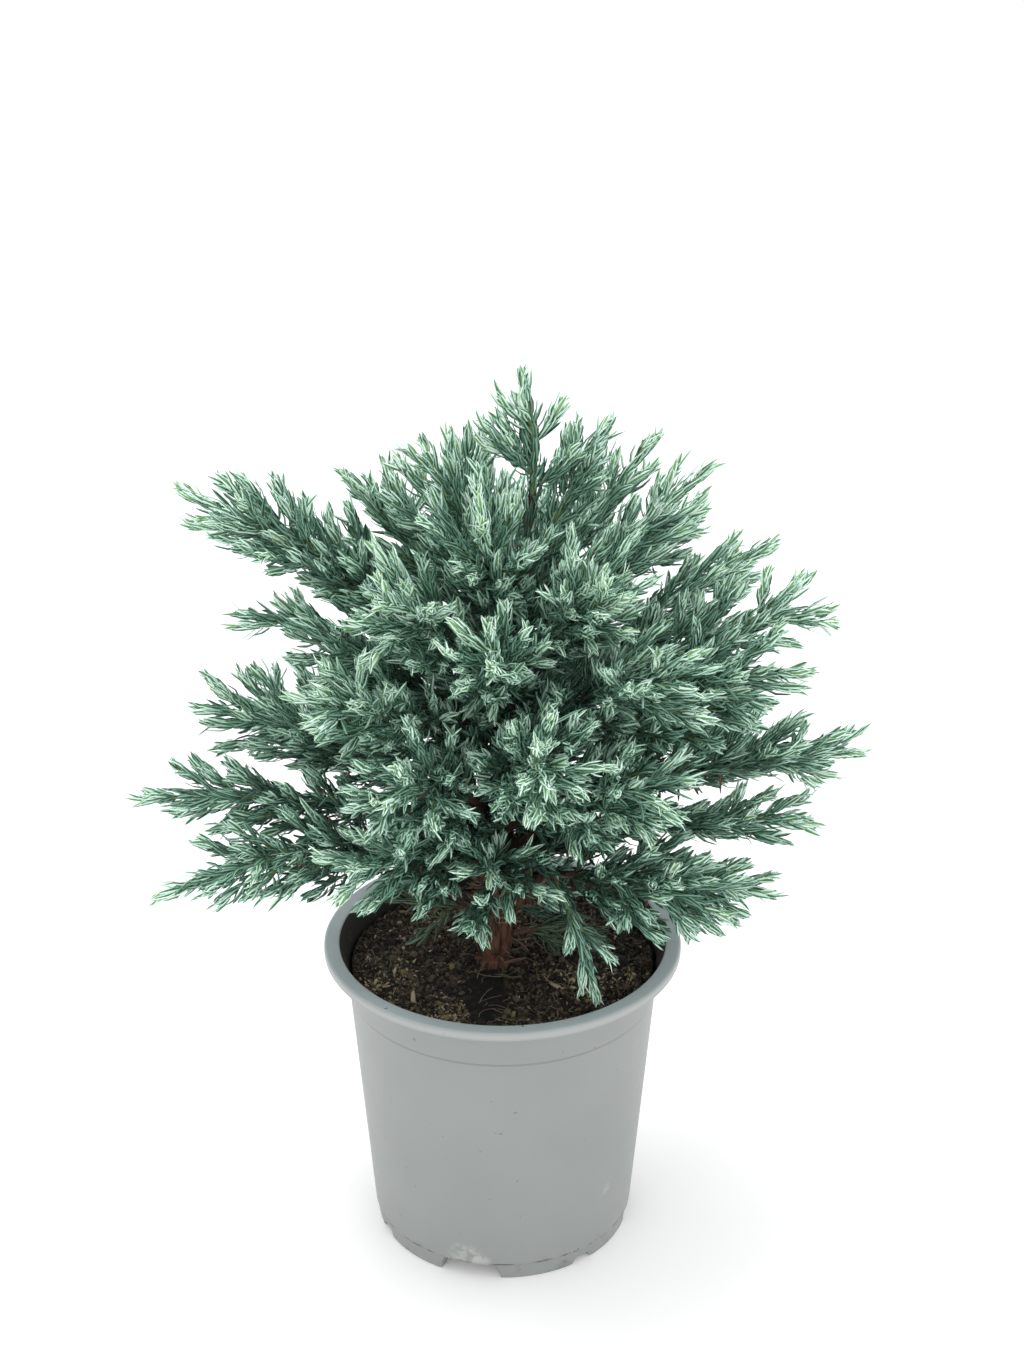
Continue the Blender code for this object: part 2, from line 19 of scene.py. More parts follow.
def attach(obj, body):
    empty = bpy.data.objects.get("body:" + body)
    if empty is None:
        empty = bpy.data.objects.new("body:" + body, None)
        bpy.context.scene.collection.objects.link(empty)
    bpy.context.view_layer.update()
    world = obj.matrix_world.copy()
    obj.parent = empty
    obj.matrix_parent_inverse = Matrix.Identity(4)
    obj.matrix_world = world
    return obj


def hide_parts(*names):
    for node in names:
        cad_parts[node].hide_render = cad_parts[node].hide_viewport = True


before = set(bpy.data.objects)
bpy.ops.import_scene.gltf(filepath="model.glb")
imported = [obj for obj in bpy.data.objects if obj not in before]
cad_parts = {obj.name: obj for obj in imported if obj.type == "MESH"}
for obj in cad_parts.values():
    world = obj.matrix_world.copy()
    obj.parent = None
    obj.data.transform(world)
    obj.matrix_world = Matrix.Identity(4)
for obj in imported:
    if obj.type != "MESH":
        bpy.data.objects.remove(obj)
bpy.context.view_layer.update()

bl_info = {
    "name": "Potted false cypress",
    "version": (1, 0, 0),
    "blender": (4, 5, 0),
    "location": "3D View > Sidebar > Cypress",
    "description": "Builds a potted false cypress with its needles, bark, soil and pot",
    "category": "Add Mesh",
}

MM = 0.001
UP = np.array((0.0, 0.0, 1.0))

# Pot.
POT_HEIGHT = 117.2 * MM
POT_FOOT_RADIUS = 47.9 * MM
POT_TOP_RADIUS = 57.7 * MM
POT_WALL = 1.2 * MM
LIP_RADIUS = 65.0 * MM
LIP_BAND = 5.4 * MM
LIP_FACE = 3.4 * MM
LEDGE_HEIGHT = 98.7 * MM
LEDGE_STEP = 0.45 * MM
COVE_FOOT = 104.0 * MM
COVE_OUT = 2.2 * MM
FOOT_HEIGHT = 6.6 * MM
FOOT_WIDTH = 5.0 * MM
FOOT_INSET = 0.6 * MM
# Notches between the feet: bearing from the front in degrees, width, height.
NOTCHES = (
    (-15.0, 20.0 * MM, 6.2 * MM),
    (38.0, 5.5 * MM, 2.6 * MM),
    (88.0, 20.0 * MM, 6.2 * MM),
    (139.0, 5.5 * MM, 2.6 * MM),
    (190.0, 20.0 * MM, 6.2 * MM),
    (242.0, 5.5 * MM, 2.6 * MM),
    (294.0, 5.5 * MM, 2.6 * MM),
)
NOTCH_SPLAY = 1.8 * MM
# Small steps in the pot's outline, and a height at which the wall gets one more ring.
FOOT_FLARE = 0.2 * MM
FOOT_TOP_FLARE = 0.3 * MM
STEP_RISE = 0.4 * MM
LIP_INNER_DROP = 0.5 * MM
WALL_RING = 0.35 * POT_HEIGHT
FOOT_ROUNDER = 1.6
LIP_FOOT_ROUNDER = 1.2
# Roundings of the pot's outline, the steps round each, and the most of a side that one takes.
LEDGE_ROUND = 0.15 * MM
COVE_ROUND = 4.0 * MM
COVE_INNER_ROUND = 3.0 * MM
LIP_INNER_ROUND = 0.5 * MM
UNDER_LIP_ROUND = 0.8 * MM
PLATE_ROUND = 0.3 * MM
ROUND_STEPS = 4
ROUND_MOST = 0.45
SHARP_ANGLE = math.radians(40.0)
NEVER_SHARP = math.radians(180.0)
WELD = 0.001 * MM
# Heights closer than this count as one, and a normal further inwards than this as facing in.
SAME_HEIGHT = 0.2 * MM
FACING_IN = -0.5
# Peat stains the inner wall up to here, and painted shade darkens it as far.
STAIN_AND_SHADE_TOP = POT_HEIGHT - 0.7 * MM
# Chalky scuffs: a middle and a radius.
POT_SCUFFS = (
    ((-14.0 * MM, -47.0 * MM, 9.5 * MM), 8.0 * MM),
    ((-8.0 * MM, -48.0 * MM, 7.5 * MM), 5.0 * MM),
    ((38.0 * MM, -34.0 * MM, 30.0 * MM), 3.4 * MM),
)

# Soil.
SOIL_TOP = 107.0 * MM
SOIL_EDGE_RISE = 0.8 * MM
SOIL_EDGE_POWER = 3
SOIL_RINGS = 96
SOIL_SIDES = 340
# The bed's lumps: the waves' fall-off, gap and octaves, then for each kind of lump how many there
# are to a metre and how high they stand, as a share of the relief.
WAVE_FRACTAL = (0.9, 2.1, 4)
WAVE_SCALE, WAVE_SHARE = 95.0, 0.55
CLOD_SCALE, CLOD_SHARE = 230.0, 0.6
CRUMB_SCALE, CRUMB_SHARE = 900.0, 0.25
CLEFT_WIDTH = 2.2
# The lumps are calmer in the wet hollow: from where, how steeply they grow, and the least.
CALM_FROM, CALM_SLOPE, CALM_LEAST = 0.7, 2.0, 0.12
# A wet hollow in the bed, in front of the trunk: its middle and its half widths.
WET_SPOT = (-6.0 * MM, -24.0 * MM)
WET_SIZE = (7.5 * MM, 18.0 * MM)
# Places on the bed where moss and dry bits gather, and how far they spread.
CLUMPS = (
    (-45.0 * MM, -21.0 * MM),
    (-38.0 * MM, -10.0 * MM),
    (-16.0 * MM, -35.0 * MM),
    (33.0 * MM, -22.0 * MM),
    (22.0 * MM, -13.0 * MM),
    (46.0 * MM, -12.0 * MM),
    (-24.0 * MM, -44.0 * MM),
    (15.0 * MM, 40.0 * MM),
    (-30.0 * MM, 33.0 * MM),
)
CLUMP_SPREAD = 4.5 * MM
CLUMP_SHARE = 0.65
# Crumbs: each kind's share of the whole number, its size beside the others, and its roughness.
CRUMB_KINDS = {
    "dark": (0.34, 1.2, 0.9),
    "brown": (0.42, 1.0, 0.95),
    "tan": (0.15, 0.85, 0.85),
    "moss": (0.09, 0.9, 0.95),
}
CRUMB_SEED = 40
CRUMB_SPREAD = 0.50
CRUMB_STRETCH = (0.45, 1.35)
CRUMB_JITTER = (0.62, 1.30)
CRUMB_LIFT = 0.12
CRUMB_FROM = 0.12
CHIP_STRETCH = (1.9, 0.7, 0.5)
DRY_FROM = 1.05
BED_MARGIN = 1.2 * MM
# Fibres: their lengths, how far they bend, how high they lie and how thick they are.
FIBRE_SEED = 7
FIBRE_FROM = 0.15
FIBRE_POINTS = 5
FIBRE_LENGTHS = (3.0 * MM, 11.0 * MM)
FIBRE_BEND = 0.5
FIBRE_TURN = 2.0
FIBRE_TAN = 0.3
FIBRE_LIFTS = (0.1 * MM, 0.9 * MM)
FIBRE_RADII = (0.08 * MM, 0.2 * MM)
FIBRE_MARGIN = 1.0 * MM

# Trunk: each station is a height above the soil and a radius.
TRUNK_FOOT_X = -3.0 * MM
TRUNK_LEAN = 15.0 * MM
TRUNK_SWAY = 1.2 * MM
TRUNK_STATIONS = (
    (0.3 * MM, 6.3 * MM),
    (2.5 * MM, 5.2 * MM),
    (8.0 * MM, 6.9 * MM),
    (17.0 * MM, 6.7 * MM),
    (30.0 * MM, 5.4 * MM),
    (60.0 * MM, 4.6 * MM),
    (100.0 * MM, 3.6 * MM),
    (152.0 * MM, 2.0 * MM),
)
TRUNK_TOP = SOIL_TOP + TRUNK_STATIONS[-1][0]
CROWN_TOP = 331.0 * MM

# Plumes: bearing in degrees from +X towards +Y, reach from the pot's axis, height of the
# tip, height where the limb leaves the trunk, lift of the limb's middle above a straight
# line, the share of the limb that is bare bough, and how long its shoots are, 1 in full.
# A bare share of 0 starts the foliage at the trunk.
PLUMES = {
    "leader": (0, 6, 331, 259, 6, 0, 1),
    "top_left": (152, 31, 303, 236, 4, 0, 0.9),
    "top_right": (15, 37, 311, 242, 3, 0, 0.8),
    "top_right_back": (20, 56, 302, 229, 5, 0, 0.9),
    "top_front": (262, 50, 297, 231, 6, 0, 1),
    "top_back": (112, 44, 294, 226, 5, 0, 0.8),
    "upper_left": (176, 109, 287, 214, 7, 0.30, 0.85),
    "upper_left_back": (139, 73, 276, 219, 7, 0, 0.9),
    "upper_right": (8, 72, 295, 217, 6, 0, 0.8),
    "upper_right_back": (40, 95, 257, 203, 12, 0, 0.9),
    "upper_left_front": (236, 72, 274, 209, 9, 0, 1),
    "upper_right_front": (303, 74, 277, 213, 9, 0, 1),
    "upper_back": (100, 84, 271, 208, 9, 0, 1),
    "mid_left": (185, 90, 249, 192, 10, 0, 0.8),
    "mid_right": (1, 113, 245, 188, 11, 0, 0.9),
    "mid_right_back": (26, 108, 249, 186, 13, 0, 0.85),
    "mid_right_front": (346, 106, 234, 178, 13, 0.30, 0.9),
    "mid_front": (268, 92, 266, 196, 13, 0, 1),
    "mid_left_front": (225, 88, 234, 181, 12, 0, 1),
    "mid_front_right": (309, 95, 250, 186, 13, 0.30, 1),
    "mid_back": (84, 109, 240, 184, 13, 0.30, 1),
    "mid_left_back": (132, 106, 238, 178, 12, 0, 1),
    "low_front": (277, 114, 236, 168, 14, 0.30, 1),
    "low_front_left": (248, 98, 218, 161, 13, 0.30, 1),
    "low_front_right": (301, 100, 215, 158, 13, 0.30, 1),
    "low_left_up": (169, 111, 199, 156, 10, 0.32, 0.8),
    "low_left": (184, 127, 178, 149, 10, 0.34, 0.6),
    "low_left_front": (204, 127, 163, 141, 14, 0.34, 0.6),
    "low_left_rim": (233, 90, 174, 145, 12, 0, 0.9),
    "low_near": (266, 58, 172, 137, 8, 0, 1),
    "low_hanging": (309, 52, 116, 138, 30, 0, 0.6),
    "low_right_rim": (327, 93, 152, 136, 12, 0.30, 0.75),
    "low_right": (349, 97, 144, 129, 9, 0.32, 0.65),
    "low_right_mid": (356, 110, 166, 141, 12, 0, 0.9),
    "low_right_up": (4, 128, 187, 152, 9, 0.34, 0.75),
    "low_right_back": (38, 119, 186, 146, 12, 0.32, 1),
    "low_back": (78, 116, 187, 151, 14, 0.32, 1),
    "low_left_back": (141, 118, 176, 145, 13, 0.32, 0.85),
    "shaded_left": (153, 45, 131, 119, 5, 0, 1),
    "shaded_right": (340, 36, 126, 115, 4, 0, 1),
}
SHADED = ("shaded_left", "shaded_right")
# The share of a stem that stays open, without extra shoots, where it isn't 0.
OPEN_SHARES = {"leader": 1.0, "shaded_left": 1.0, "shaded_right": 1.0, "low_hanging": 0.6}

# Boughs, stems and the rule by which a plume branches.
GAP = 0.3 * MM
BOUGH_RADIUS = 2.7 * MM
BOUGH_TIP_RADIUS = 1.5 * MM
BOUGH_SIDES = 6
STEM_RADIUS = 1.4 * MM
STEM_TIP_RADIUS = 0.7 * MM
STEM_SIDES = 3
TURN = math.radians(137.5)
SHOOT_PITCH = 16.5 * MM
SHOOT_FIRST = 5.0 * MM
SHOOT_LAST = 9.0 * MM
SHOOT_ANGLE = math.radians(50.0)
SHOOT_TIP_ANGLE = math.radians(26.0)
SHOOT_LONGEST = 42.0 * MM
SHOOT_SHORTEST = 15.0 * MM
SHOOT_SPACE = 1.9 * MM
SHOOT_BEND = 0.22
SHOOT_CAP = 0.85
SHOOT_CAP_BASE = 2.0 * MM
LEADER_CAP = 0.62
# Side shoots of the leader that stand against the sky: distance below its tip, bearing in
# degrees, angle from the stem in degrees, reach.
LEADER_SHOOTS = (
    (20.0 * MM, 180.0, 50.0, 15.0 * MM),
    (25.0 * MM, 5.0, 44.0, 15.0 * MM),
    (36.0 * MM, 188.0, 50.0, 25.0 * MM),
    (40.0 * MM, 352.0, 58.0, 30.0 * MM),
)
SHOOT_TRIES = (1.0, 0.8, 0.62, 0.46)
SHOOT_SHORTENS = 1.5
LENGTH_VARIES = (0.85, 1.1)
PITCH_VARIES = (0.85, 1.15)
PATH_LEAST = 3
TESTED_LEAST = 2
# A shoot's place on its plume is 0 at the trunk and 1 at the tip. Shoots on a bare limb get the
# first of these, and a twig adds this share of its own place to its shoot's.
INNER_PLACE = -0.2
TWIG_PLACE = 0.15
FILL_FULLNESS = 0.75
STEM_POINTS = 33
PLUME_POINTS = 65
LEAF_POINTS = 25
TRUNK_POINTS = 60
# Where a limb leaves the trunk is searched for along this much of it, in these steps.
SEARCH_END = 0.5
SEARCH_STEP = 0.002
# A direction whose level part is shorter than this counts as upright.
NEARLY_UPRIGHT = 0.05
SPACE_MARGIN = 0.5 * MM
# Extra shoots, twigs and inner shoots beside the main ones: where they begin and end on their
# stem, the space that each takes, how far a twig may pass into its neighbours', and their spread.
FILL_FIRST = 0.6 * SHOOT_FIRST
FILL_SPACE = 0.5 * SHOOT_SPACE
FINE_SPACE = 0.3 * SHOOT_SPACE
FINE_LAST = 0.6 * SHOOT_LAST
FINE_MARGIN = -4.0 * SPACE_MARGIN
FINE_TIP_ANGLE = 0.7
LOOSE_SPREAD = 0.2
INNER_SPREAD = 0.3
LIMB_CLEARANCE = 0.6 * MM
SHOOT_WHORL = 10.5 * MM
PATH_STEP = 3.0 * MM
TANGENT_STEP = 0.6 * MM
SHOOT_LIFT = 0.05
TIP_NEEDLE = 5.0 * MM
SHOOT_LEAST = 8.5 * MM
TWIG_BEARING = 20.0 * MM
INNER_FOOT = 72.0 * MM
SIDE_RADIUS = 0.6 * MM
TWIG_RADIUS = 0.45 * MM
TWIG_TAPER = 0.6
WOODY_SHARE = 0.45
STEM_OVERLAP = 0.02
# Twigs as drawn: points along each path, and sides round it.
WOODY_TUBE = (14, 10)
GREEN_TUBE = (14, 8)
SHOOT_TUBE = (6, 5)
TWIG_TUBE = (4, 4)
FIBRE_SIDES = 4

# Bark.
BARK_NAME = "stringy red brown bark"
# Furrows to a metre, on the trunk and on the boughs.
TRUNK_GRAIN = 330.0
BOUGH_GRAIN = 520.0
BOUGH_RELIEF = 0.6
BOUGH_STATIONS = 36
BOUGH_STEPS = 20
TRUNK_SUNK = 2.0 * MM
BOUGH_SUNK = 0.03
BOUGH_PAST_END = 0.02
# The bark's strings and lumps: how far the strings are drawn out along the trunk, their fall-off,
# gap and octaves, how much of each there is, and how much wider the lumps are.
STRING_STRETCH = 0.18
STRING_FRACTAL = (0.8, 2.2, 4)
STRING_SHARE, LUMP_SHARE, LUMP_SCALE = 0.75, 0.55, 0.28
# Painted shade: the bark is painted darker between these heights, by this much, where it runs up into
# the crown.
CROWN_SHADOW_FOOT = 125.0 * MM
CROWN_SHADOW_TOP = 150.0 * MM
CROWN_SHADOW_DEPTH = 0.75

# Needles. A station is a share of the needle's length, and its width there.
NEEDLE_FLATNESS = 0.26
NEEDLE_STATIONS = ((0.0, 0.1), (0.22, 0.80), (0.55, 1.0), (0.86, 0.72), (1.0, 0.05))
KEEL_SHARE = 0.50
# A needle starts as a grid of half width 0.5: corners past the first of these are its margins, and
# triangles whose middle lies within the second are its keel.
MARGIN_FROM = 0.3
KEEL_WITHIN = 0.15
PIECE_LIMIT = 190000
NEEDLE_SEED = 11
NEEDLE_START = 0.3 * MM
FIRST_NEEDLE = 1.5 * MM
STEM_FIRST_NEEDLE = 6.0 * MM
STEM_CROWDING = 0.7
TURN_SPREAD = 0.22
# How far a needle leans from its shoot: least and most, and what of it a tuft takes off.
LEAN_LIMITS = (0.05, 1.3)
LEAN_SPREAD = 0.18
TUFT_LEAN = 0.35
NEEDLE_LIFT = 0.06
NEEDLE_SPREAD = 0.10
# How far a needle curls in, less in a tuft, how much of that is forwards, and its spread.
CURL, TUFT_CURL, CURL_FORWARD = 0.66, 0.10, 0.5
CURL_SPREAD = 0.18
BEND_SPREAD = 0.11
ROLL_SPREAD = 0.35
# Needles grow shorter over a shoot's first stretch and in its tuft.
YOUNG_STRETCH = 10.0 * MM
YOUNG_SHORTER = 0.20
TUFT_SHORTER = 0.28
SIZE_SPREAD = 0.10
OUTER_WIDENS = 0.5
TIP_CLEARANCE = 0.2 * MM
MIDDLE_CLEARANCE = 0.5 * MM
TRUNK_CLEARANCE = 0.3 * MM
# A needle's level is how far out and high it stands, and how near its shoot's tip. Where it
# passes one of the levels here the needles change from one kind to the next, from dark to pale.
# The level follows the needles' own colour, paler at the waxy young tips, and also paints light
# and shade: needles high and far out are painted lighter, those deep in the crown in shade.
# Every needle of the two shoots beside the trunk is at the shaded level.
LEVEL_OUTER = 0.45
LEVEL_TUFT = 0.52
HIGH_PAINTED_LIGHT = 0.22
SHADED_LEVEL = -1.0
KIND_LEVELS = (SHADED_LEVEL + 0.5, 0.26, 0.56, 0.86, 1.02)
SHOOT_LEVEL_SPREAD = 0.06
LEVEL_SPREAD = 0.04
OUTER_FULL = 0.85
TUFT_LENGTH = 7.5 * MM
BUD_LENGTH = 2.6 * MM
BUD_CROWDING = 1.5
BUD_NEEDLES = 7
# Kinds of needle from the lowest level up: the paint of the margins and the paint of the keel.
# The darker kinds are partly painted shade and the paler ones partly painted light.
NEEDLE_KINDS = {
    "under": ("olive", "deep_green"),
    "shade": ("shade", "deep_green"),
    "teal": ("teal", "dark_green"),
    "silver": ("silver", "green"),
    "frost": ("frost", "fresh_green"),
    "young": ("frost", "young"),
}
# Each paint is named after its colour setting: the material's name and its roughness.
NEEDLE_PAINTS = {
    "deep_green": ("deep green needle", 0.6),
    "olive": ("needle under the crown", 0.6),
    "shade": ("shaded needle", 0.6),
    "teal": ("inner bloom", 0.6),
    "dark_green": ("dark green needle", 0.6),
    "green": ("green needle", 0.6),
    "fresh_green": ("fresh green needle", 0.6),
    "silver": ("silver bloom", 0.5),
    "frost": ("frosty bloom", 0.5),
    "young": ("young needle", 0.6),
}
# Dead needles: on the low stems between two shares of them, and on the trunk up to a height.
DEAD_SEED = 23
DEAD_NEEDLES = 9
DEAD_SHARES = (0.1, 0.5)
STUB_HEIGHTS = (1.0 * MM, 34.0 * MM)
STUB_SUNK = 0.4 * MM
STUB_LIFTS = (0.1, 0.9)
DEAD_DROOP = 0.3
DEAD_SPREAD = 0.25
DEAD_BEND = 0.12
DEAD_SAG = 0.08
DEAD_LENGTHS = (0.5, 1.0)
DEAD_WIDTH = 0.6

# Stage: where each soft light stands, and its side.
CROWN_MIDDLE = (0.0, 0.0, 0.2)
KEY_PLACE, KEY_SIDE = (-0.25, 0.15, 1.5), 0.8
FILL_PLACE, FILL_SIDE = (0.9, -1.3, 0.7), 0.9

FOLIAGE_NODES = ["foliage_" + name for name in PLUMES]
BOUGH_NODES = ["bough_" + name for name, figures in PLUMES.items() if figures[5]]


# Settings.


def colour(name, description, default):
    kind = {"subtype": "COLOR", "size": 3, "min": 0.0, "max": 1.0}
    return FloatVectorProperty(name=name, description=description, default=default, **kind)


def amount(name, description, default, **kind):
    return FloatProperty(name=name, description=description, default=default, **kind)


def length(name, description, millimetres):
    kind = {"unit": "LENGTH", "subtype": "DISTANCE", "min": 0.0, "precision": 5}
    return amount(name, description, millimetres * MM, **kind)


def angle(name, description, degrees):
    return amount(name, description, math.radians(degrees), unit="ROTATION", subtype="ANGLE")


def count(name, description, default):
    return IntProperty(name=name, description=description, min=1, default=default)


class CypressPotSettings(bpy.types.PropertyGroup):
    """The moulded pot."""

    wall: colour("Wall", "Grey of the moulded wall", (0.272, 0.288, 0.283))
    band: colour("Lip band", "Dustier grey on top of the lip", (0.420, 0.480, 0.500))
    dirt: colour("Dirt", "Soil stains on the feet and the lip", (0.055, 0.045, 0.035))
    # The inner wall's brown black is peat stain with painted shade over it.
    stained: colour("Stained", "Inner wall stained by peat", (0.022, 0.020, 0.016))
    scuff: colour("Scuff", "Chalky scuffs near the feet", (0.72, 0.72, 0.66))
    lip_round: length("Lip rounding", "Radius on the lip's outer top corner", 1.3)
    edge_round: length("Edge rounding", "Radius on the pot's other corners", 0.45)
    sides: count("Sides", "Steps round the pot", 360)


class CypressSoilSettings(bpy.types.PropertyGroup):
    """The peat in the pot."""

    dark: colour("Dark peat", "Moist peat between the crumbs", (0.013, 0.0105, 0.0075))
    brown: colour("Brown peat", "Crumbs of brown peat", (0.105, 0.080, 0.056))
    tan: colour("Tan bits", "Dry bits of bark and straw", (0.460, 0.375, 0.260))
    moss: colour("Moss", "Yellow green moss", (0.210, 0.170, 0.075))
    crumbs: count("Crumbs", "Loose crumbs on the surface", 9500)
    crumb_size: length("Crumb size", "Middle size of a crumb", 0.85)
    relief: length("Relief", "Height of the bed's lumps", 2.0)
    fibres: count("Fibres", "Loose strands in the peat", 200)


class CypressBarkSettings(bpy.types.PropertyGroup):
    """Bark on the trunk and the boughs."""

    ridge: colour("Ridges", "Red brown of the bark's ridges", (0.170, 0.085, 0.055))
    furrow: colour("Furrows", "Dark brown between the ridges", (0.030, 0.014, 0.010))
    flake: colour("Flakes", "Grey tan of the dry flakes", (0.300, 0.210, 0.145))
    relief: length("Relief", "Depth of the furrows on the trunk", 0.55)
    trunk_sides: count("Trunk sides", "Steps round the trunk", 72)
    trunk_steps: count("Trunk steps", "Steps up the trunk", 240)
    stubs: count("Stubs", "Dead needles on the trunk's foot", 90)


class CypressFoliageSettings(bpy.types.PropertyGroup):
    """Shoots and needles."""

    fill_pitch: length("Fill pitch", "Spacing of the extra shoots along a stem", 2.4)
    fill_longest: length("Fill longest", "Longest extra shoot", 40.0)
    fill_shortest: length("Fill shortest", "Shortest extra shoot", 15.0)
    fill_room: length("Fill room", "Least distance between the tips of extra shoots", 11.5)
    inner_pitch: length("Inner pitch", "Spacing of the shoots on trunk and boughs", 2.6)
    inner_longest: length("Inner longest", "Longest shoot on trunk and boughs", 30.0)
    inner_shortest: length("Inner shortest", "Shortest shoot on trunk and boughs", 20.0)
    inner_room: length("Inner room", "Least distance between the tips of inner shoots", 6.0)
    twig_pitch: length("Twig pitch", "Spacing of the twigs along a shoot", 5.0)
    twig_longest: length("Twig longest", "Longest twig on a shoot", 19.0)
    twig_shortest: length("Twig shortest", "Shortest twig on a shoot", 10.0)
    twig_angle: angle("Twig angle", "Angle between a twig and its shoot", 46.0)
    twig_room: length("Twig room", "Least distance between the tips of twigs", 9.2)
    needle_pitch: length("Outer needle pitch", "Length of an outer shoot for each needle", 0.62)
    inner_needle_pitch: length("Inner needle pitch", "Length of an inner shoot for each needle", 0.72)
    needle_length: length("Needle length", "Length of a full-grown needle", 9.6)
    needle_width: length("Tip needle width", "Width of a needle at the growing tips", 1.80)
    inner_width: length("Inner needle width", "Width of a needle near the trunk", 1.22)
    needle_angle: angle("Outer needle angle", "Angle between a needle and an outer shoot", 44.0)
    inner_angle: angle("Inner needle angle", "Angle between a needle and an inner shoot", 62.0)
    # From frost down to shade and from fresh green down to deep green, the needle colours step from
    # painted light at the high outer tips to painted shade deep in the crown, over the needles' own
    # change of colour with age.
    frost: colour("Frost", "Waxy bloom on young needles", (0.810, 1.000, 0.921))
    silver: colour("Silver", "Bloom on full-grown needles", (0.651, 0.900, 0.776))
    teal: colour("Teal", "Bloom on inner needles", (0.264, 0.470, 0.364))
    olive: colour("Olive", "Needles of the two shoots beside the trunk", (0.150, 0.200, 0.120))
    shade: colour("Shade", "Needles deep in the crown", (0.075, 0.165, 0.116))
    green: colour("Green", "Green face of a needle", (0.075, 0.190, 0.082))
    fresh_green: colour("Fresh green", "Fresh green face of a needle", (0.132, 0.310, 0.116))
    dark_green: colour("Dark green", "Dark green face of a needle", (0.040, 0.115, 0.066))
    deep_green: colour("Deep green", "Green face of an inner needle", (0.018, 0.060, 0.037))
    young: colour("Young green", "Green face at the growing tips", (0.210, 0.400, 0.130))
    dead: colour("Dead", "Dead needles", (0.130, 0.085, 0.058))
    stem: colour("Stem", "Green bark of the shoots", (0.150, 0.230, 0.090))
    wood: colour("Wood", "Brown bark of the older twigs", (0.090, 0.050, 0.034))


class CypressStageSettings(bpy.types.PropertyGroup):
    """Floor, light and camera."""

    floor: colour("Floor", "Pale floor", (0.95, 0.95, 0.95))
    floor_size: length("Floor size", "Side of the floor", 40000.0)
    floor_glow: amount("Floor glow", "Light that the white floor adds to its shadows", 0.12)
    world_strength: amount("World strength", "Strength of the white surroundings", 1.05)
    key_power: amount("Key power", "Power of the soft light above", 9.0, subtype="POWER")
    fill_power: amount("Fill power", "Power of the soft light in front", 1.5, subtype="POWER")
    camera_back: length("Camera back", "Distance of the camera in front of the pot's axis", 788.0)
    camera_height: length("Camera height", "Height of the camera above the floor", 585.0)
    camera_pitch: angle("Camera pitch", "How far the camera looks down", 24.9)
    camera_yaw: angle("Camera yaw", "How far the camera turns towards +X", 0.25)
    camera_lens: amount("Camera lens", "Focal length on a 36 mm sensor", 65.93, unit="CAMERA")


SETTINGS = {
    "cypress_pot": CypressPotSettings,
    "cypress_soil": CypressSoilSettings,
    "cypress_bark": CypressBarkSettings,
    "cypress_foliage": CypressFoliageSettings,
    "cypress_stage": CypressStageSettings,
}


# Materials.


class Channel:
    """A shader value that takes part in Python sums."""

    def __init__(self, paint, socket):
        self.paint = paint
        self.socket = socket

    def _sum(self, operation, first, second):
        return self.paint.node("ShaderNodeMath", {"operation": operation}, {0: first, 1: second})

    def __add__(self, other):
        return self._sum("ADD", self, other)

    __radd__ = __add__

    def __sub__(self, other):
        return self._sum("SUBTRACT", self, other)

    def __rsub__(self, other):
        return self._sum("SUBTRACT", other, self)

    def __mul__(self, other):
        return self._sum("MULTIPLY", self, other)

    __rmul__ = __mul__

    def __truediv__(self, other):
        return self._sum("DIVIDE", self, other)

    def between(self, low, high):
        """0 below low, 1 above high, and smooth between them."""
        settings = {"interpolation_type": "SMOOTHSTEP"}
        sockets = {"Value": self, "From Min": low, "From Max": high}
        return self.paint.node("ShaderNodeMapRange", settings, sockets)


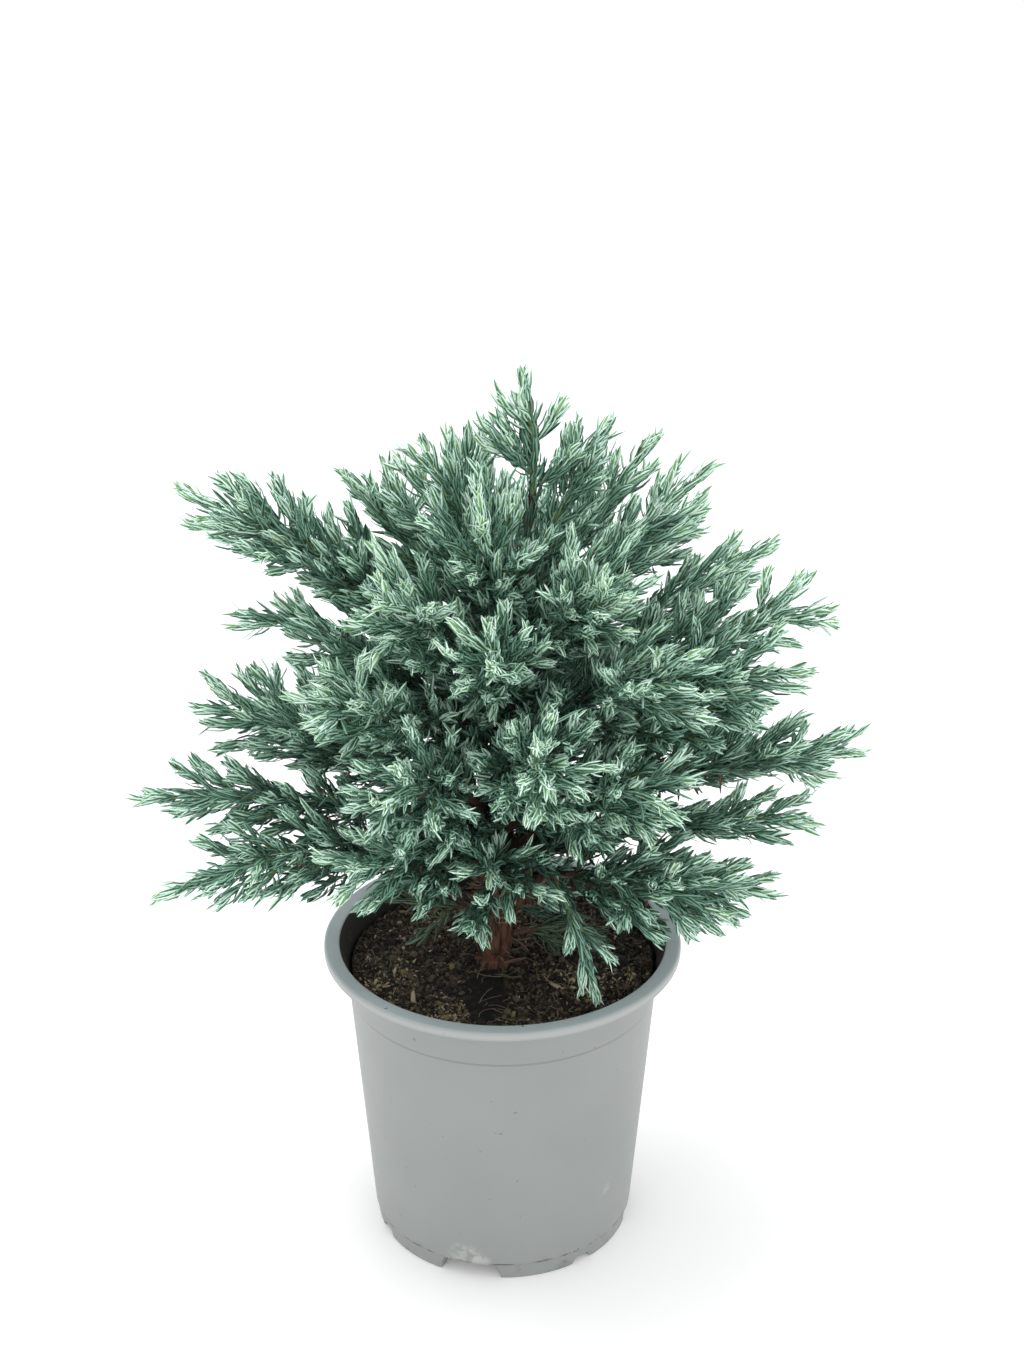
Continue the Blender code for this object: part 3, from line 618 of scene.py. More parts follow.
class Paint:
    """One material on a Principled shader."""

    def __init__(self, name, **constants):
        self.material = bpy.data.materials.new(name)
        self.material.use_nodes = True
        self.tree = self.material.node_tree
        self.shader = self.tree.nodes["Principled BSDF"]
        self.feed(**constants)

    def node(self, kind, settings=None, sockets=None, result=0):
        """Add a node: its settings first, then its sockets, then one of its outputs."""
        node = self.tree.nodes.new(kind)
        for key, value in (settings or {}).items():
            setattr(node, key, value)
        for key, value in (sockets or {}).items():
            self.connect(node.inputs[key], value)
        return Channel(self, node.outputs[result])

    def connect(self, socket, value):
        if isinstance(value, Channel):
            self.tree.links.new(value.socket, socket)
        elif socket.type == "RGBA" and len(value) == 3:
            socket.default_value = (*value, 1.0)
        else:
            socket.default_value = value

    def feed(self, **sockets):
        """Set or link the shader's own sockets, named with _ for a space."""
        for key, value in sockets.items():
            self.connect(self.shader.inputs[key.replace("_", " ")], value)

    def place(self):
        return self.node("ShaderNodeTexCoord", result="Object")

    def axis(self, name):
        return self.node("ShaderNodeSeparateXYZ", sockets={0: self.place()}, result=name)

    def distance_from(self, point, vector=None):
        """How far the surface lies from a point on the object."""
        settings = {"operation": "DISTANCE"}
        sockets = {0: vector or self.place(), 1: point}
        return self.node("ShaderNodeVectorMath", settings, sockets, "Value")

    def stretched(self, scale):
        """Object coordinates, scaled by a factor on each axis."""
        return self.node("ShaderNodeMapping", None, {"Vector": self.place(), "Scale": scale})

    def noise(self, scale, detail=3.0, roughness=0.55, vector=None):
        sockets = {"Scale": scale, "Detail": detail, "Roughness": roughness}
        sockets["Vector"] = vector or self.place()
        return self.node("ShaderNodeTexNoise", None, sockets)

    def mix(self, factor, first, second):
        """A mix of two colours. Sockets 6 and 7 and output 2 are the node's colour ones."""
        sockets = {0: factor, 6: first, 7: second}
        return self.node("ShaderNodeMix", {"data_type": "RGBA"}, sockets, 2)

    def line_at(self, value, middle, half_width):
        """1 where a value passes the middle of a line, fading to 0 at its sides."""
        off = (value - middle) / half_width
        return (1.0 - off * off).between(0.0, 1.0)

    def bump(self, height, distance, strength=1.0):
        sockets = {"Height": height, "Distance": distance, "Strength": strength}
        self.feed(Normal=self.node("ShaderNodeBump", None, sockets))


def plain_paint(name, shade, roughness=0.6, **constants):
    """A plain colour, for pieces made of a great many small things."""
    return Paint(name, Base_Color=shade, Roughness=roughness, **constants).material


def scaled(shade, factor):
    return [factor * part for part in shade]


def pot_paint(pot):
    """Grey moulded plastic: faint mottling, dust on the lip, dirt and scuffs at the feet, a painted
    highlight on the lip's rolled face and a painted shadow under the ledge.
    """
    paint = Paint("moulded grey plastic", Specular_IOR_Level=0.42)
    height = paint.axis("Z")
    grain = paint.noise(420.0, 4.0, 0.6)
    # The wall is faintly mottled.
    mottle = paint.noise(26.0, 2.0)
    shade = paint.mix(mottle.between(0.3, 0.7), pot.wall, scaled(pot.wall, 1.05))
    # A painted highlight lightens the lip's rolled face, where it faces up to the light.
    rolled = height.between(POT_HEIGHT - LIP_FACE, POT_HEIGHT - 0.6 * LIP_FACE)
    shade = paint.mix(rolled, shade, scaled(pot.wall, 1.38))
    # Dust lies on top of the lip.
    lip = height.between(POT_HEIGHT - 0.5 * MM, POT_HEIGHT - 0.1 * MM)
    shade = paint.mix(lip * (0.62 + 0.5 * grain), shade, pot.band)
    # Soil stains the wall above the feet, and clings to the line along their top.
    feet = 1.0 - height.between(FOOT_HEIGHT + 0.8 * MM, FOOT_HEIGHT + 3.5 * MM)
    stain = paint.noise(150.0, 5.0, 0.7).between(0.54, 0.74)
    shade = paint.mix(feet * stain * 0.35, shade, pot.dirt)
    foot_line = paint.line_at(height, FOOT_HEIGHT + 0.3 * MM, 0.55 * MM)
    broken = paint.noise(210.0, 3.0, 0.6).between(0.42, 0.62)
    shade = paint.mix(foot_line * broken * 0.85, shade, pot.dirt)
    # A thin painted shadow runs below the stacking ledge.
    ledge = paint.line_at(height, LEDGE_HEIGHT - 0.2 * MM, 0.75 * MM)
    shade = paint.mix(ledge * 0.35, shade, scaled(pot.wall, 0.38))
    # Specks of peat, darker at the feet and on the lip, and then the chalky scuffs.
    specks = paint.noise(360.0, 1.0).between(0.770, 0.795)
    shade = paint.mix(specks * (0.35 + feet * 0.5 + lip * 0.4), shade, pot.dirt)
    worn = paint.noise(300.0, 4.0, 0.7).between(0.40, 0.62)
    for point, size in POT_SCUFFS:
        near = 1.0 - paint.distance_from(point).between(0.35 * size, size)
        shade = paint.mix(near * worn * 0.28, shade, pot.scuff)
    paint.feed(Base_Color=shade, Roughness=0.36 + 0.16 * grain + lip * 0.2 + feet * stain * 0.25)
    paint.bump(grain * 0.6 + specks * 0.5 + mottle, 0.05 * MM, 0.6)
    return paint.material


def inside_paint(pot):
    """The wall inside the pot, brown black from peat stain and painted shade."""
    paint = Paint("stained inner wall", Specular_IOR_Level=0.3, Roughness=0.7)
    # Peat stain and painted shade make the inner wall brown black; rubbed spots show the grey.
    rubbed = paint.noise(190.0, 4.0, 0.65).between(0.60, 0.78)
    paint.feed(Base_Color=paint.mix(rubbed * 0.5, pot.stained, pot.wall))
    return paint.material


def soil_paint(soil):
    """Crumbly peat, near black where it is wet, with moss in patches."""
    paint = Paint("moist peat bed", Specular_IOR_Level=0.35)
    lumps = paint.noise(260.0, 6.0, 0.7)
    grain = paint.noise(1700.0, 3.0, 0.7)
    # The wet hollow is an ellipse, so its distance is taken in a space that makes it round.
    squeeze = [1.0 / half for half in WET_SIZE]
    middle = [part * share for part, share in zip(WET_SPOT, squeeze)]
    away = paint.distance_from((*middle, 0.0), paint.stretched((*squeeze, 0.0)))
    wet = 1.0 - away.between(0.75, 1.30)
    # Dark and brown peat by its lumps, and dry grains and moss where it isn't wet.
    shade = paint.mix(lumps.between(0.42, 0.66), soil.dark, soil.brown)
    shade = paint.mix(grain.between(0.62, 0.74) * 0.7 * (1.0 - wet), shade, soil.tan)
    moss = paint.noise(55.0, 4.0, 0.6).between(0.60, 0.70)
    shade = paint.mix(moss * grain.between(0.45, 0.6) * (1.0 - wet), shade, soil.moss)
    shade = paint.mix(wet * 0.95, shade, scaled(soil.dark, 0.2))
    paint.feed(Base_Color=shade, Roughness=0.95 - 0.45 * wet * lumps.between(0.5, 0.7))
    paint.bump(lumps + 0.5 * grain, 1.2 * MM, 0.9)
    return paint.material


def bark_paint(bark):
    """Stringy red brown bark: long furrows, with dry flakes on the ridges, and painted shade under the
    crown.
    """
    paint = Paint(BARK_NAME, Specular_IOR_Level=0.25)
    # Strings and flakes are drawn out along the trunk.
    strings = paint.noise(520.0, 5.0, 0.65, paint.stretched((1.0, 1.0, 0.16)))
    flakes = paint.noise(700.0, 4.0, 0.7, paint.stretched((1.0, 1.0, 0.3)))
    patches = paint.noise(120.0, 4.0, 0.6)
    shade = paint.mix(strings.between(0.36, 0.60), bark.furrow, bark.ridge)
    shade = paint.mix(flakes.between(0.58, 0.70) * patches.between(0.42, 0.6), shade, bark.flake)
    shade = paint.mix(patches.between(0.60, 0.75) * 0.5, shade, bark.furrow)
    # Painted shade: the bark darkens towards the furrows' brown where it runs up into the crown.
    high = paint.axis("Z").between(CROWN_SHADOW_FOOT, CROWN_SHADOW_TOP)
    shade = paint.mix(high * CROWN_SHADOW_DEPTH, shade, bark.furrow)
    paint.feed(Base_Color=shade, Roughness=0.72 + 0.2 * strings)
    paint.bump(strings + 0.4 * flakes, 0.5 * MM, 0.9)
    return paint.material


# Meshes.


def placed(name, data):
    """A new object in the scene."""
    item = bpy.data.objects.new(name, data)
    bpy.context.scene.collection.objects.link(item)
    return item


def add_piece(name, mesh, materials, replaced=()):
    """A finished piece: its mesh in place, its materials, the body and the solids it stands for."""
    for material in materials:
        mesh.materials.append(material)
    piece = placed(name, mesh)
    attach(piece, "root")
    if replaced:
        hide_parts(*replaced)


def mesh_of(name, bm, sharp=SHARP_ANGLE):
    """Turn a bmesh into a smooth mesh with its normals facing out."""
    bmesh.ops.recalc_face_normals(bm, faces=bm.faces)
    mesh = bpy.data.meshes.new(name)
    bm.to_mesh(mesh)
    bm.free()
    mesh.shade_smooth()
    mesh.set_sharp_from_angle(angle=sharp)
    return mesh


def mesh_from_arrays(name, points, triangles, finishes=None, smooth=True):
    """A mesh of triangles from arrays of corners, corner numbers and material numbers."""
    mesh = bpy.data.meshes.new(name)
    mesh.vertices.add(len(points))
    mesh.vertices.foreach_set("co", points.astype(np.float32).ravel())
    mesh.loops.add(3 * len(triangles))
    mesh.loops.foreach_set("vertex_index", triangles.astype(np.int32).ravel())
    mesh.polygons.add(len(triangles))
    mesh.polygons.foreach_set("loop_start", np.arange(0, 3 * len(triangles), 3, dtype=np.int32))
    if finishes is not None:
        mesh.polygons.foreach_set("material_index", finishes.astype(np.int32))
    mesh.update(calc_edges=True)
    if smooth:
        mesh.shade_smooth()
    return mesh


def stamp(template, corners):
    """Repeat a template's triangles for each row of its moved corners."""
    points, triangles = template
    offsets = len(points) * np.arange(len(corners))
    return corners.reshape(-1, 3), (triangles + offsets[:, None, None]).reshape(-1, 3)


def arrays_of(bm):
    """A template's corners and triangles, from a bmesh."""
    bmesh.ops.triangulate(bm, faces=bm.faces)
    bmesh.ops.recalc_face_normals(bm, faces=bm.faces)
    bm.verts.index_update()
    points = np.array([vert.co[:] for vert in bm.verts])
    triangles = np.array([[vert.index for vert in face.verts] for face in bm.faces])
    bm.free()
    return points, triangles


# Pot and soil.


def wall_radius(height):
    """The outer radius of the pot's straight wall."""
    share = height / POT_HEIGHT
    return POT_FOOT_RADIUS + (POT_TOP_RADIUS - POT_FOOT_RADIUS) * share


def inner_radius(height):
    return wall_radius(height) - POT_WALL


def rounded(corners):
    """A closed outline with its corners rounded. A corner is a radius, a height and a rounding."""
    outline = []
    for number, (radius, height, rounding) in enumerate(corners):
        corner = np.array((radius, height))
        if not rounding:
            outline.append(tuple(corner))
            continue
        before = np.array(corners[number - 1][:2]) - corner
        after = np.array(corners[(number + 1) % len(corners)][:2]) - corner
        ends = []
        for side in (before, after):
            run = min(rounding / np.linalg.norm(side), ROUND_MOST)
            ends.append(corner + run * side)
        for i in range(ROUND_STEPS + 1):
            t = i / ROUND_STEPS
            point = (1 - t) ** 2 * ends[0] + 2 * t * (1 - t) * corner + t * t * ends[1]
            outline.append(tuple(point))
    return outline


def pot_outline(pot):
    """The pot's closed outline, from the foot's inner edge up the outside and back down."""
    edge = pot.edge_round
    foot = POT_FOOT_RADIUS - FOOT_INSET
    lip_foot = POT_HEIGHT - LIP_FACE
    cove_top = wall_radius(COVE_FOOT) + LEDGE_STEP + COVE_OUT
    plate_top = FOOT_HEIGHT + POT_WALL
    corners = [
        # Foot ring.
        (POT_FOOT_RADIUS - FOOT_WIDTH, 0.0, edge),
        (foot, 0.0, FOOT_ROUNDER * edge),
        (foot + FOOT_FLARE, 0.5 * FOOT_HEIGHT, 0.0),
        (foot + FOOT_TOP_FLARE, FOOT_HEIGHT - STEP_RISE, FOOT_FLARE),
        # Wall, ledge and cove.
        (wall_radius(FOOT_HEIGHT), FOOT_HEIGHT, PLATE_ROUND),
        (wall_radius(WALL_RING), WALL_RING, 0.0),
        (wall_radius(LEDGE_HEIGHT), LEDGE_HEIGHT, LEDGE_ROUND),
        (wall_radius(LEDGE_HEIGHT) + LEDGE_STEP, LEDGE_HEIGHT + STEP_RISE, LEDGE_ROUND),
        (wall_radius(COVE_FOOT) + LEDGE_STEP, COVE_FOOT, COVE_ROUND),
        # Lip.
        (cove_top, lip_foot, UNDER_LIP_ROUND),
        (LIP_RADIUS, lip_foot, LIP_FOOT_ROUNDER * edge),
        (LIP_RADIUS, POT_HEIGHT, pot.lip_round),
        (LIP_RADIUS - LIP_BAND, POT_HEIGHT, LIP_INNER_ROUND),
        # Inside, and the plate's two faces.
        (cove_top - POT_WALL, lip_foot - LIP_INNER_DROP, UNDER_LIP_ROUND),
        (inner_radius(COVE_FOOT), COVE_FOOT, COVE_INNER_ROUND),
        (inner_radius(plate_top), plate_top, 0.0),
        (0.0, plate_top, 0.0),
        (0.0, FOOT_HEIGHT, 0.0),
        (POT_FOOT_RADIUS - FOOT_WIDTH, FOOT_HEIGHT, PLATE_ROUND),
    ]
    return rounded(corners)


def turned(outline, sides):
    """Spin a closed outline of (radius, height) points round the upright axis."""
    bm = bmesh.new()
    ring = [bm.verts.new((radius, 0.0, height)) for radius, height in outline]
    edges = [bm.edges.new((a, b)) for a, b in zip(ring, ring[1:] + ring[:1])]
    bmesh.ops.spin(
        bm,
        geom=ring + edges,
        axis=(0.0, 0.0, 1.0),
        cent=(0.0, 0.0, 0.0),
        steps=sides,
        angle=math.tau,
        use_merge=True,
    )
    bmesh.ops.remove_doubles(bm, verts=bm.verts, dist=WELD)
    bmesh.ops.dissolve_degenerate(bm, edges=bm.edges, dist=WELD)
    return bm


def notch_lift(x, y):
    """How far the foot ring is lifted at a bearing."""
    bearing = math.degrees(math.atan2(x, -y))
    lift = 0.0
    for middle, width, height in NOTCHES:
        off = (bearing - middle + 180.0) % 360.0 - 180.0
        arc = abs(math.radians(off)) * POT_FOOT_RADIUS
        into = (0.5 * width + NOTCH_SPLAY - arc) / NOTCH_SPLAY
        into = min(max(into, 0.0), 1.0)
        lift = max(lift, height * into * into * (3.0 - 2.0 * into))
    return lift


def make_pot(pot):
    """The turned shell, its foot ring lifted at the notches, its inner wall in its own paint."""
    bm = turned(pot_outline(pot), pot.sides)
    ring = POT_FOOT_RADIUS - 2.0 * FOOT_WIDTH
    for vert in bm.verts:
        if vert.co.z < FOOT_HEIGHT - SAME_HEIGHT and vert.co.xy.length > ring:
            above = 1.0 - vert.co.z / FOOT_HEIGHT
            vert.co.z += notch_lift(vert.co.x, vert.co.y) * above
    bmesh.ops.recalc_face_normals(bm, faces=bm.faces)
    for face in bm.faces:
        middle = face.calc_center_median()
        outwards = middle.x * face.normal.x + middle.y * face.normal.y
        inward = outwards < FACING_IN * middle.xy.length
        face.material_index = int(inward and FOOT_HEIGHT + POT_WALL < middle.z < STAIN_AND_SHADE_TOP)
    paints = [pot_paint(pot), inside_paint(pot)]
    add_piece("pot_shell", mesh_of("pot_shell", bm), paints, ["pot"])


def soil_height(across):
    """The bed's height at a distance from the pot's axis, before its lumps."""
    return SOIL_TOP + SOIL_EDGE_RISE * (across / inner_radius(COVE_FOOT)) ** SOIL_EDGE_POWER


def wet_reach(x, y):
    """How far out from the wet hollow's middle a place is: 1 on its edge."""
    return np.hypot((x - WET_SPOT[0]) / WET_SIZE[0], (y - WET_SPOT[1]) / WET_SIZE[1])


def soil_relief(x, y, relief):
    """The bed's lumps: clods with clefts between them, and smaller crumbs on them."""
    place = Vector((x, y, 0.0))
    waves = noise.fractal(place * WAVE_SCALE, *WAVE_FRACTAL)
    nearest = noise.voronoi(place * CLOD_SCALE)[0]
    clods = min(CLEFT_WIDTH * (nearest[1] - nearest[0]), 1.0)
    crumbs = noise.noise(place * CRUMB_SCALE)
    calm = min(max(CALM_SLOPE * (wet_reach(x, y) - CALM_FROM), CALM_LEAST), 1.0)
    return relief * calm * (WAVE_SHARE * waves + CLOD_SHARE * (clods - 0.5) + CRUMB_SHARE * crumbs)


def surface_height(x, y, relief):
    """The bed's height at a place, with its lumps."""
    return soil_height(math.hypot(x, y)) + soil_relief(x, y, relief)


def make_soil_bed(soil):
    """The peat from the pot's plate up to a lumpy top."""
    floor = FOOT_HEIGHT + POT_WALL + GAP
    edge = inner_radius(COVE_FOOT) - GAP
    outline = [(0.0, floor), (inner_radius(floor) - GAP, floor), (edge, COVE_FOOT)]
    radii = [edge * i / SOIL_RINGS for i in range(SOIL_RINGS, -1, -1)]
    outline += [(radius, soil_height(radius)) for radius in radii]
    bm = turned(outline, SOIL_SIDES)
    for vert in bm.verts:
        if vert.co.z > COVE_FOOT + SAME_HEIGHT:
            vert.co.z += soil_relief(vert.co.x, vert.co.y, soil.relief)
    mesh = mesh_of("soil_bed", bm, NEVER_SHARP)
    add_piece("soil_bed", mesh, [soil_paint(soil)], ["soil"])


def random_turns(rng, total):
    """Random rotation matrices, one for each small thing."""
    quaternion = rng.normal(size=(total, 4))
    quaternion /= np.linalg.norm(quaternion, axis=1, keepdims=True)
    w, x, y, z = quaternion.T
    rows = [
        (1 - 2 * (y * y + z * z), 2 * (x * y - z * w), 2 * (x * z + y * w)),
        (2 * (x * y + z * w), 1 - 2 * (x * x + z * z), 2 * (y * z - x * w)),
        (2 * (x * z - y * w), 2 * (y * z + x * w), 1 - 2 * (x * x + y * y)),
    ]
    return np.array(rows).transpose(2, 0, 1)


def scattered(rng, total, low):
    """Random places on the bed, as x and y, from a share of its radius outwards."""
    edge = inner_radius(COVE_FOOT) - BED_MARGIN
    across = edge * np.sqrt(rng.uniform(low * low, 1.0, total))
    bearing = rng.uniform(0.0, math.tau, total)
    return across * np.cos(bearing), across * np.sin(bearing)


def make_crumbs(soil):
    """Loose crumbs, each kind a piece of its own in its own colour."""
    bm = bmesh.new()
    bmesh.ops.create_icosphere(bm, subdivisions=1, radius=0.5)
    template = arrays_of(bm)
    for number, (kind, (share, size, roughness)) in enumerate(CRUMB_KINDS.items()):
        rng = np.random.default_rng(CRUMB_SEED + number)
        total = int(share * soil.crumbs)
        x, y = scattered(rng, total, CRUMB_FROM)
        if kind in ("tan", "moss"):
            clump = np.array(CLUMPS)[rng.integers(0, len(CLUMPS), total)].T
            gathered = rng.uniform(size=total) < CLUMP_SHARE
            x, y = np.where(gathered, clump + rng.normal(0.0, CLUMP_SPREAD, (2, total)), (x, y))
        dry = (wet_reach(x, y) > DRY_FROM) & (np.hypot(x, y) < inner_radius(COVE_FOOT) - BED_MARGIN)
        x, y = x[dry], y[dry]
        total = len(x)
        sizes = size * soil.crumb_size * rng.lognormal(0.0, CRUMB_SPREAD, total)
        stretch = sizes[:, None] * rng.uniform(*CRUMB_STRETCH, (total, 3))
        if kind == "tan":
            stretch *= CHIP_STRETCH
        jitter = rng.uniform(*CRUMB_JITTER, (total, len(template[0]), 1))
        corners = template[0] * jitter * stretch[:, None, :]
        corners = np.einsum("nij,nkj->nki", random_turns(rng, total), corners)
        z = [surface_height(*at, soil.relief) for at in zip(x, y)]
        corners += np.stack((x, y, np.array(z) + CRUMB_LIFT * sizes), axis=1)[:, None, :]
        mesh = mesh_from_arrays("crumbs_" + kind, *stamp(template, corners), smooth=False)
        paint = plain_paint(kind + " crumbs", getattr(soil, kind), roughness)
        add_piece("soil_crumbs_" + kind, mesh, [paint])


def make_fibres(soil):
    """Thin strands that lie in the peat, a little bent."""
    rng = np.random.default_rng(FIBRE_SEED)
    total = soil.fibres
    x, y = scattered(rng, total, FIBRE_FROM)
    bearing = rng.uniform(0.0, math.tau, total)
    run = rng.uniform(*FIBRE_LENGTHS, total)
    steps = np.linspace(-0.5, 0.5, FIBRE_POINTS)
    bend = rng.uniform(-FIBRE_BEND, FIBRE_BEND, total)
    paths = np.zeros((total, FIBRE_POINTS, 3))
    for i, step in enumerate(steps):
        turn = bearing + FIBRE_TURN * bend * step
        paths[:, i, 0] = x + run * step * np.cos(turn)
        paths[:, i, 1] = y + run * step * np.sin(turn)
    across = np.hypot(paths[..., 0], paths[..., 1])
    limit = inner_radius(COVE_FOOT) - FIBRE_MARGIN
    paths[..., :2] *= np.minimum(1.0, limit / across)[..., None]
    for point in paths.reshape(-1, 3):
        point[2] = surface_height(*point[:2], soil.relief)
    paths[..., 2] += rng.uniform(*FIBRE_LIFTS, (total, 1))
    radii = rng.uniform(*FIBRE_RADII, (total, 1)) * np.ones((1, FIBRE_POINTS))
    mesh = mesh_from_arrays("soil_fibres", *tubes(paths, radii, FIBRE_SIDES))
    shades = zip(soil.brown, soil.tan)
    shade = [(1.0 - FIBRE_TAN) * brown + FIBRE_TAN * tan for brown, tan in shades]
    add_piece("soil_fibres", mesh, [plain_paint("peat fibres", shade, 0.9)])


# Growth.


def trunk_axis(height):
    """Points on the trunk's axis at heights above the floor."""
    height = np.asarray(height, float)
    rise = (height - SOIL_TOP) / (CROWN_TOP - SOIL_TOP)
    x = TRUNK_FOOT_X + TRUNK_LEAN * rise * rise
    y = TRUNK_SWAY * np.sin(math.tau * rise)
    return np.stack((x, y, height), axis=-1)


def trunk_radius(height):
    heights, radii = np.array(TRUNK_STATIONS).T
    return np.interp(np.asarray(height) - SOIL_TOP, heights, radii)


def trunk_clearance(points):
    """How far points lie outside the trunk."""
    height = np.clip(points[..., 2], SOIL_TOP, TRUNK_TOP)
    across = np.linalg.norm((points - trunk_axis(height))[..., :2], axis=-1)
    return np.maximum(across - trunk_radius(height), points[..., 2] - TRUNK_TOP)


def unit(vectors):
    return vectors / np.linalg.norm(vectors, axis=-1, keepdims=True)


def frames_on(tangents):
    """Two unit vectors square to each direction, the first as level as it can be."""
    side = np.cross(tangents, UP)
    flat = np.linalg.norm(side, axis=-1) < NEARLY_UPRIGHT
    side[flat] = np.cross(tangents[flat], (0.0, 1.0, 0.0))
    side = unit(side)
    return side, unit(np.cross(side, tangents))


def travelled(path):
    """How far along a path each of its points lies."""
    steps = np.linalg.norm(np.diff(path, axis=0), axis=1)
    return np.concatenate(([0.0], np.cumsum(steps)))


def leaning(forward, outward, lean):
    """The direction that leans outward from another one by an angle."""
    return unit(math.cos(lean) * forward + math.sin(lean) * outward)


class Plume:
    """One limb: a curve from the trunk to the plume's tip, bare bough first, then foliage."""

    def __init__(self, name, figures):
        bearing, reach, tip, foot, lift, bare, fullness = figures
        self.name = name
        self.start = trunk_axis(foot * MM)
        across = math.radians(bearing)
        self.end = MM * np.array((reach * math.cos(across), reach * math.sin(across), tip))
        bow = np.array((1.0, 0.0, 0.0)) if name == "leader" else UP
        self.control = 0.5 * (self.start + self.end) + 2.0 * lift * MM * bow
        self.leave = self.first_clear_share(bare)
        self.bare_end = bare or self.leave
        self.has_bough = bool(bare)
        self.fullness = fullness
        self.shares = np.linspace(self.bare_end, 1.0, PLUME_POINTS)
        self.travel = travelled(self.at(self.shares))
        self.length = self.travel[-1]
        self.leaf_path = self.samples(self.bare_end, 1.0)
        self.bough_path = self.samples(self.leave, self.bare_end) if bare else None

    def at(self, share):
        share = np.asarray(share, float)[..., None]
        rest = 1.0 - share
        return rest * rest * self.start + 2.0 * rest * share * self.control + share * share * self.end

    def tangent(self, share):
        share = np.asarray(share, float)[..., None]
        return unit((1.0 - share) * (self.control - self.start) + share * (self.end - self.control))

    def share_at(self, along):
        """The share of the curve at a distance along the foliage."""
        return np.interp(along, self.travel, self.shares)

    def samples(self, low, high):
        ends = np.linspace(low, high, LEAF_POINTS)
        run = np.linalg.norm(np.diff(self.at(ends), axis=0), axis=1).sum()
        return self.at(np.linspace(low, high, max(2, round(run / PATH_STEP)) + 1))

    def first_clear_share(self, bare):
        """The share at which the limb's end face is just clear of the trunk."""
        radius, sides = (BOUGH_RADIUS, BOUGH_SIDES) if bare else (STEM_RADIUS, STEM_SIDES)
        shares = np.arange(0.0, SEARCH_END, SEARCH_STEP)
        centres = self.at(shares)
        side, up = frames_on(self.tangent(shares))
        clearance = trunk_clearance(centres)
        for i in range(sides):
            turn = math.tau * i / sides
            corner = centres + radius * (math.cos(turn) * side + math.sin(turn) * up)
            clearance = np.minimum(clearance, trunk_clearance(corner))
        return float(shares[np.argmax(clearance >= GAP)])


def stretches(paths):
    """Where each straight stretch of some paths starts, and how it runs."""
    starts = np.concatenate([path[:-1] for path in paths])
    return starts, np.concatenate([np.diff(path, axis=0) for path in paths])


def distances(points, starts, runs):
    """The distance from each point to each short straight stretch."""
    offset = points[:, None, :] - starts[None, :, :]
    share = (offset * runs).sum(2) / (runs * runs).sum(1)
    offset -= np.clip(share, 0.0, 1.0)[..., None] * runs
    return np.sqrt((offset * offset).sum(2))


def clear_of_pot(points, radius):
    """True above the rim, above the soil inside it, or well outside the lip."""
    across = np.linalg.norm(points[:, :2], axis=1)
    low = points[:, 2] - radius
    inside = (across + radius < inner_radius(LEDGE_HEIGHT)) & (low > SOIL_TOP + GAP)
    return inside | (low > POT_HEIGHT + GAP) | (across - radius > LIP_RADIUS + GAP)


class Space:
    """The room that each plume keeps to, between its neighbours, the limbs and the pot."""

    def __init__(self, plumes):
        leafy = [plume.leaf_path for plume in plumes]
        self.leafy = stretches(leafy)
        self.owners = np.concatenate([[i] * (len(path) - 1) for i, path in enumerate(leafy)])
        self.bare = stretches([plume.bough_path for plume in plumes if plume.has_bough])
        self.tips = [plume.end for plume in plumes]

    def holds(self, owner, points, radius, margin, room):
        """True where every ball is in the plume's own space and clear of limbs and other tips."""
        if room and np.linalg.norm(self.tips - points[-1], axis=1).min() < room:
            return False
        if not clear_of_pot(points, radius).all():
            return False
        if trunk_clearance(points).min() < radius + LIMB_CLEARANCE:
            return False
        boughs = distances(points, *self.bare)
        if boughs.min() < BOUGH_RADIUS + radius + LIMB_CLEARANCE:
            return False
        if margin is None:
            return True
        away = distances(points, *self.leafy)
        own = away[:, self.owners == owner].min(1)
        others = away[:, self.owners != owner].min(1)
        return bool((others - own >= 2.0 * radius + margin).all())


class Shoot:
    """A leafy shoot: its path, its order of branching, and how far out on its plume it is."""

    def __init__(self, path, reach, order, outer):
        self.path = path
        self.order = order
        self.outer = outer
        self.travel = travelled(path)
        self.length = self.travel[-1]
        self.reach = self.length if reach is None else reach

    def at(self, along):
        columns = [np.interp(along, self.travel, self.path[:, i]) for i in range(3)]
        return np.stack(columns, axis=-1)

    def tangent(self, along):
        low = np.clip(np.asarray(along) - TANGENT_STEP, 0.0, self.length)
        high = np.clip(np.asarray(along) + TANGENT_STEP, 0.0, self.length)
        return unit(self.at(high) - self.at(low))


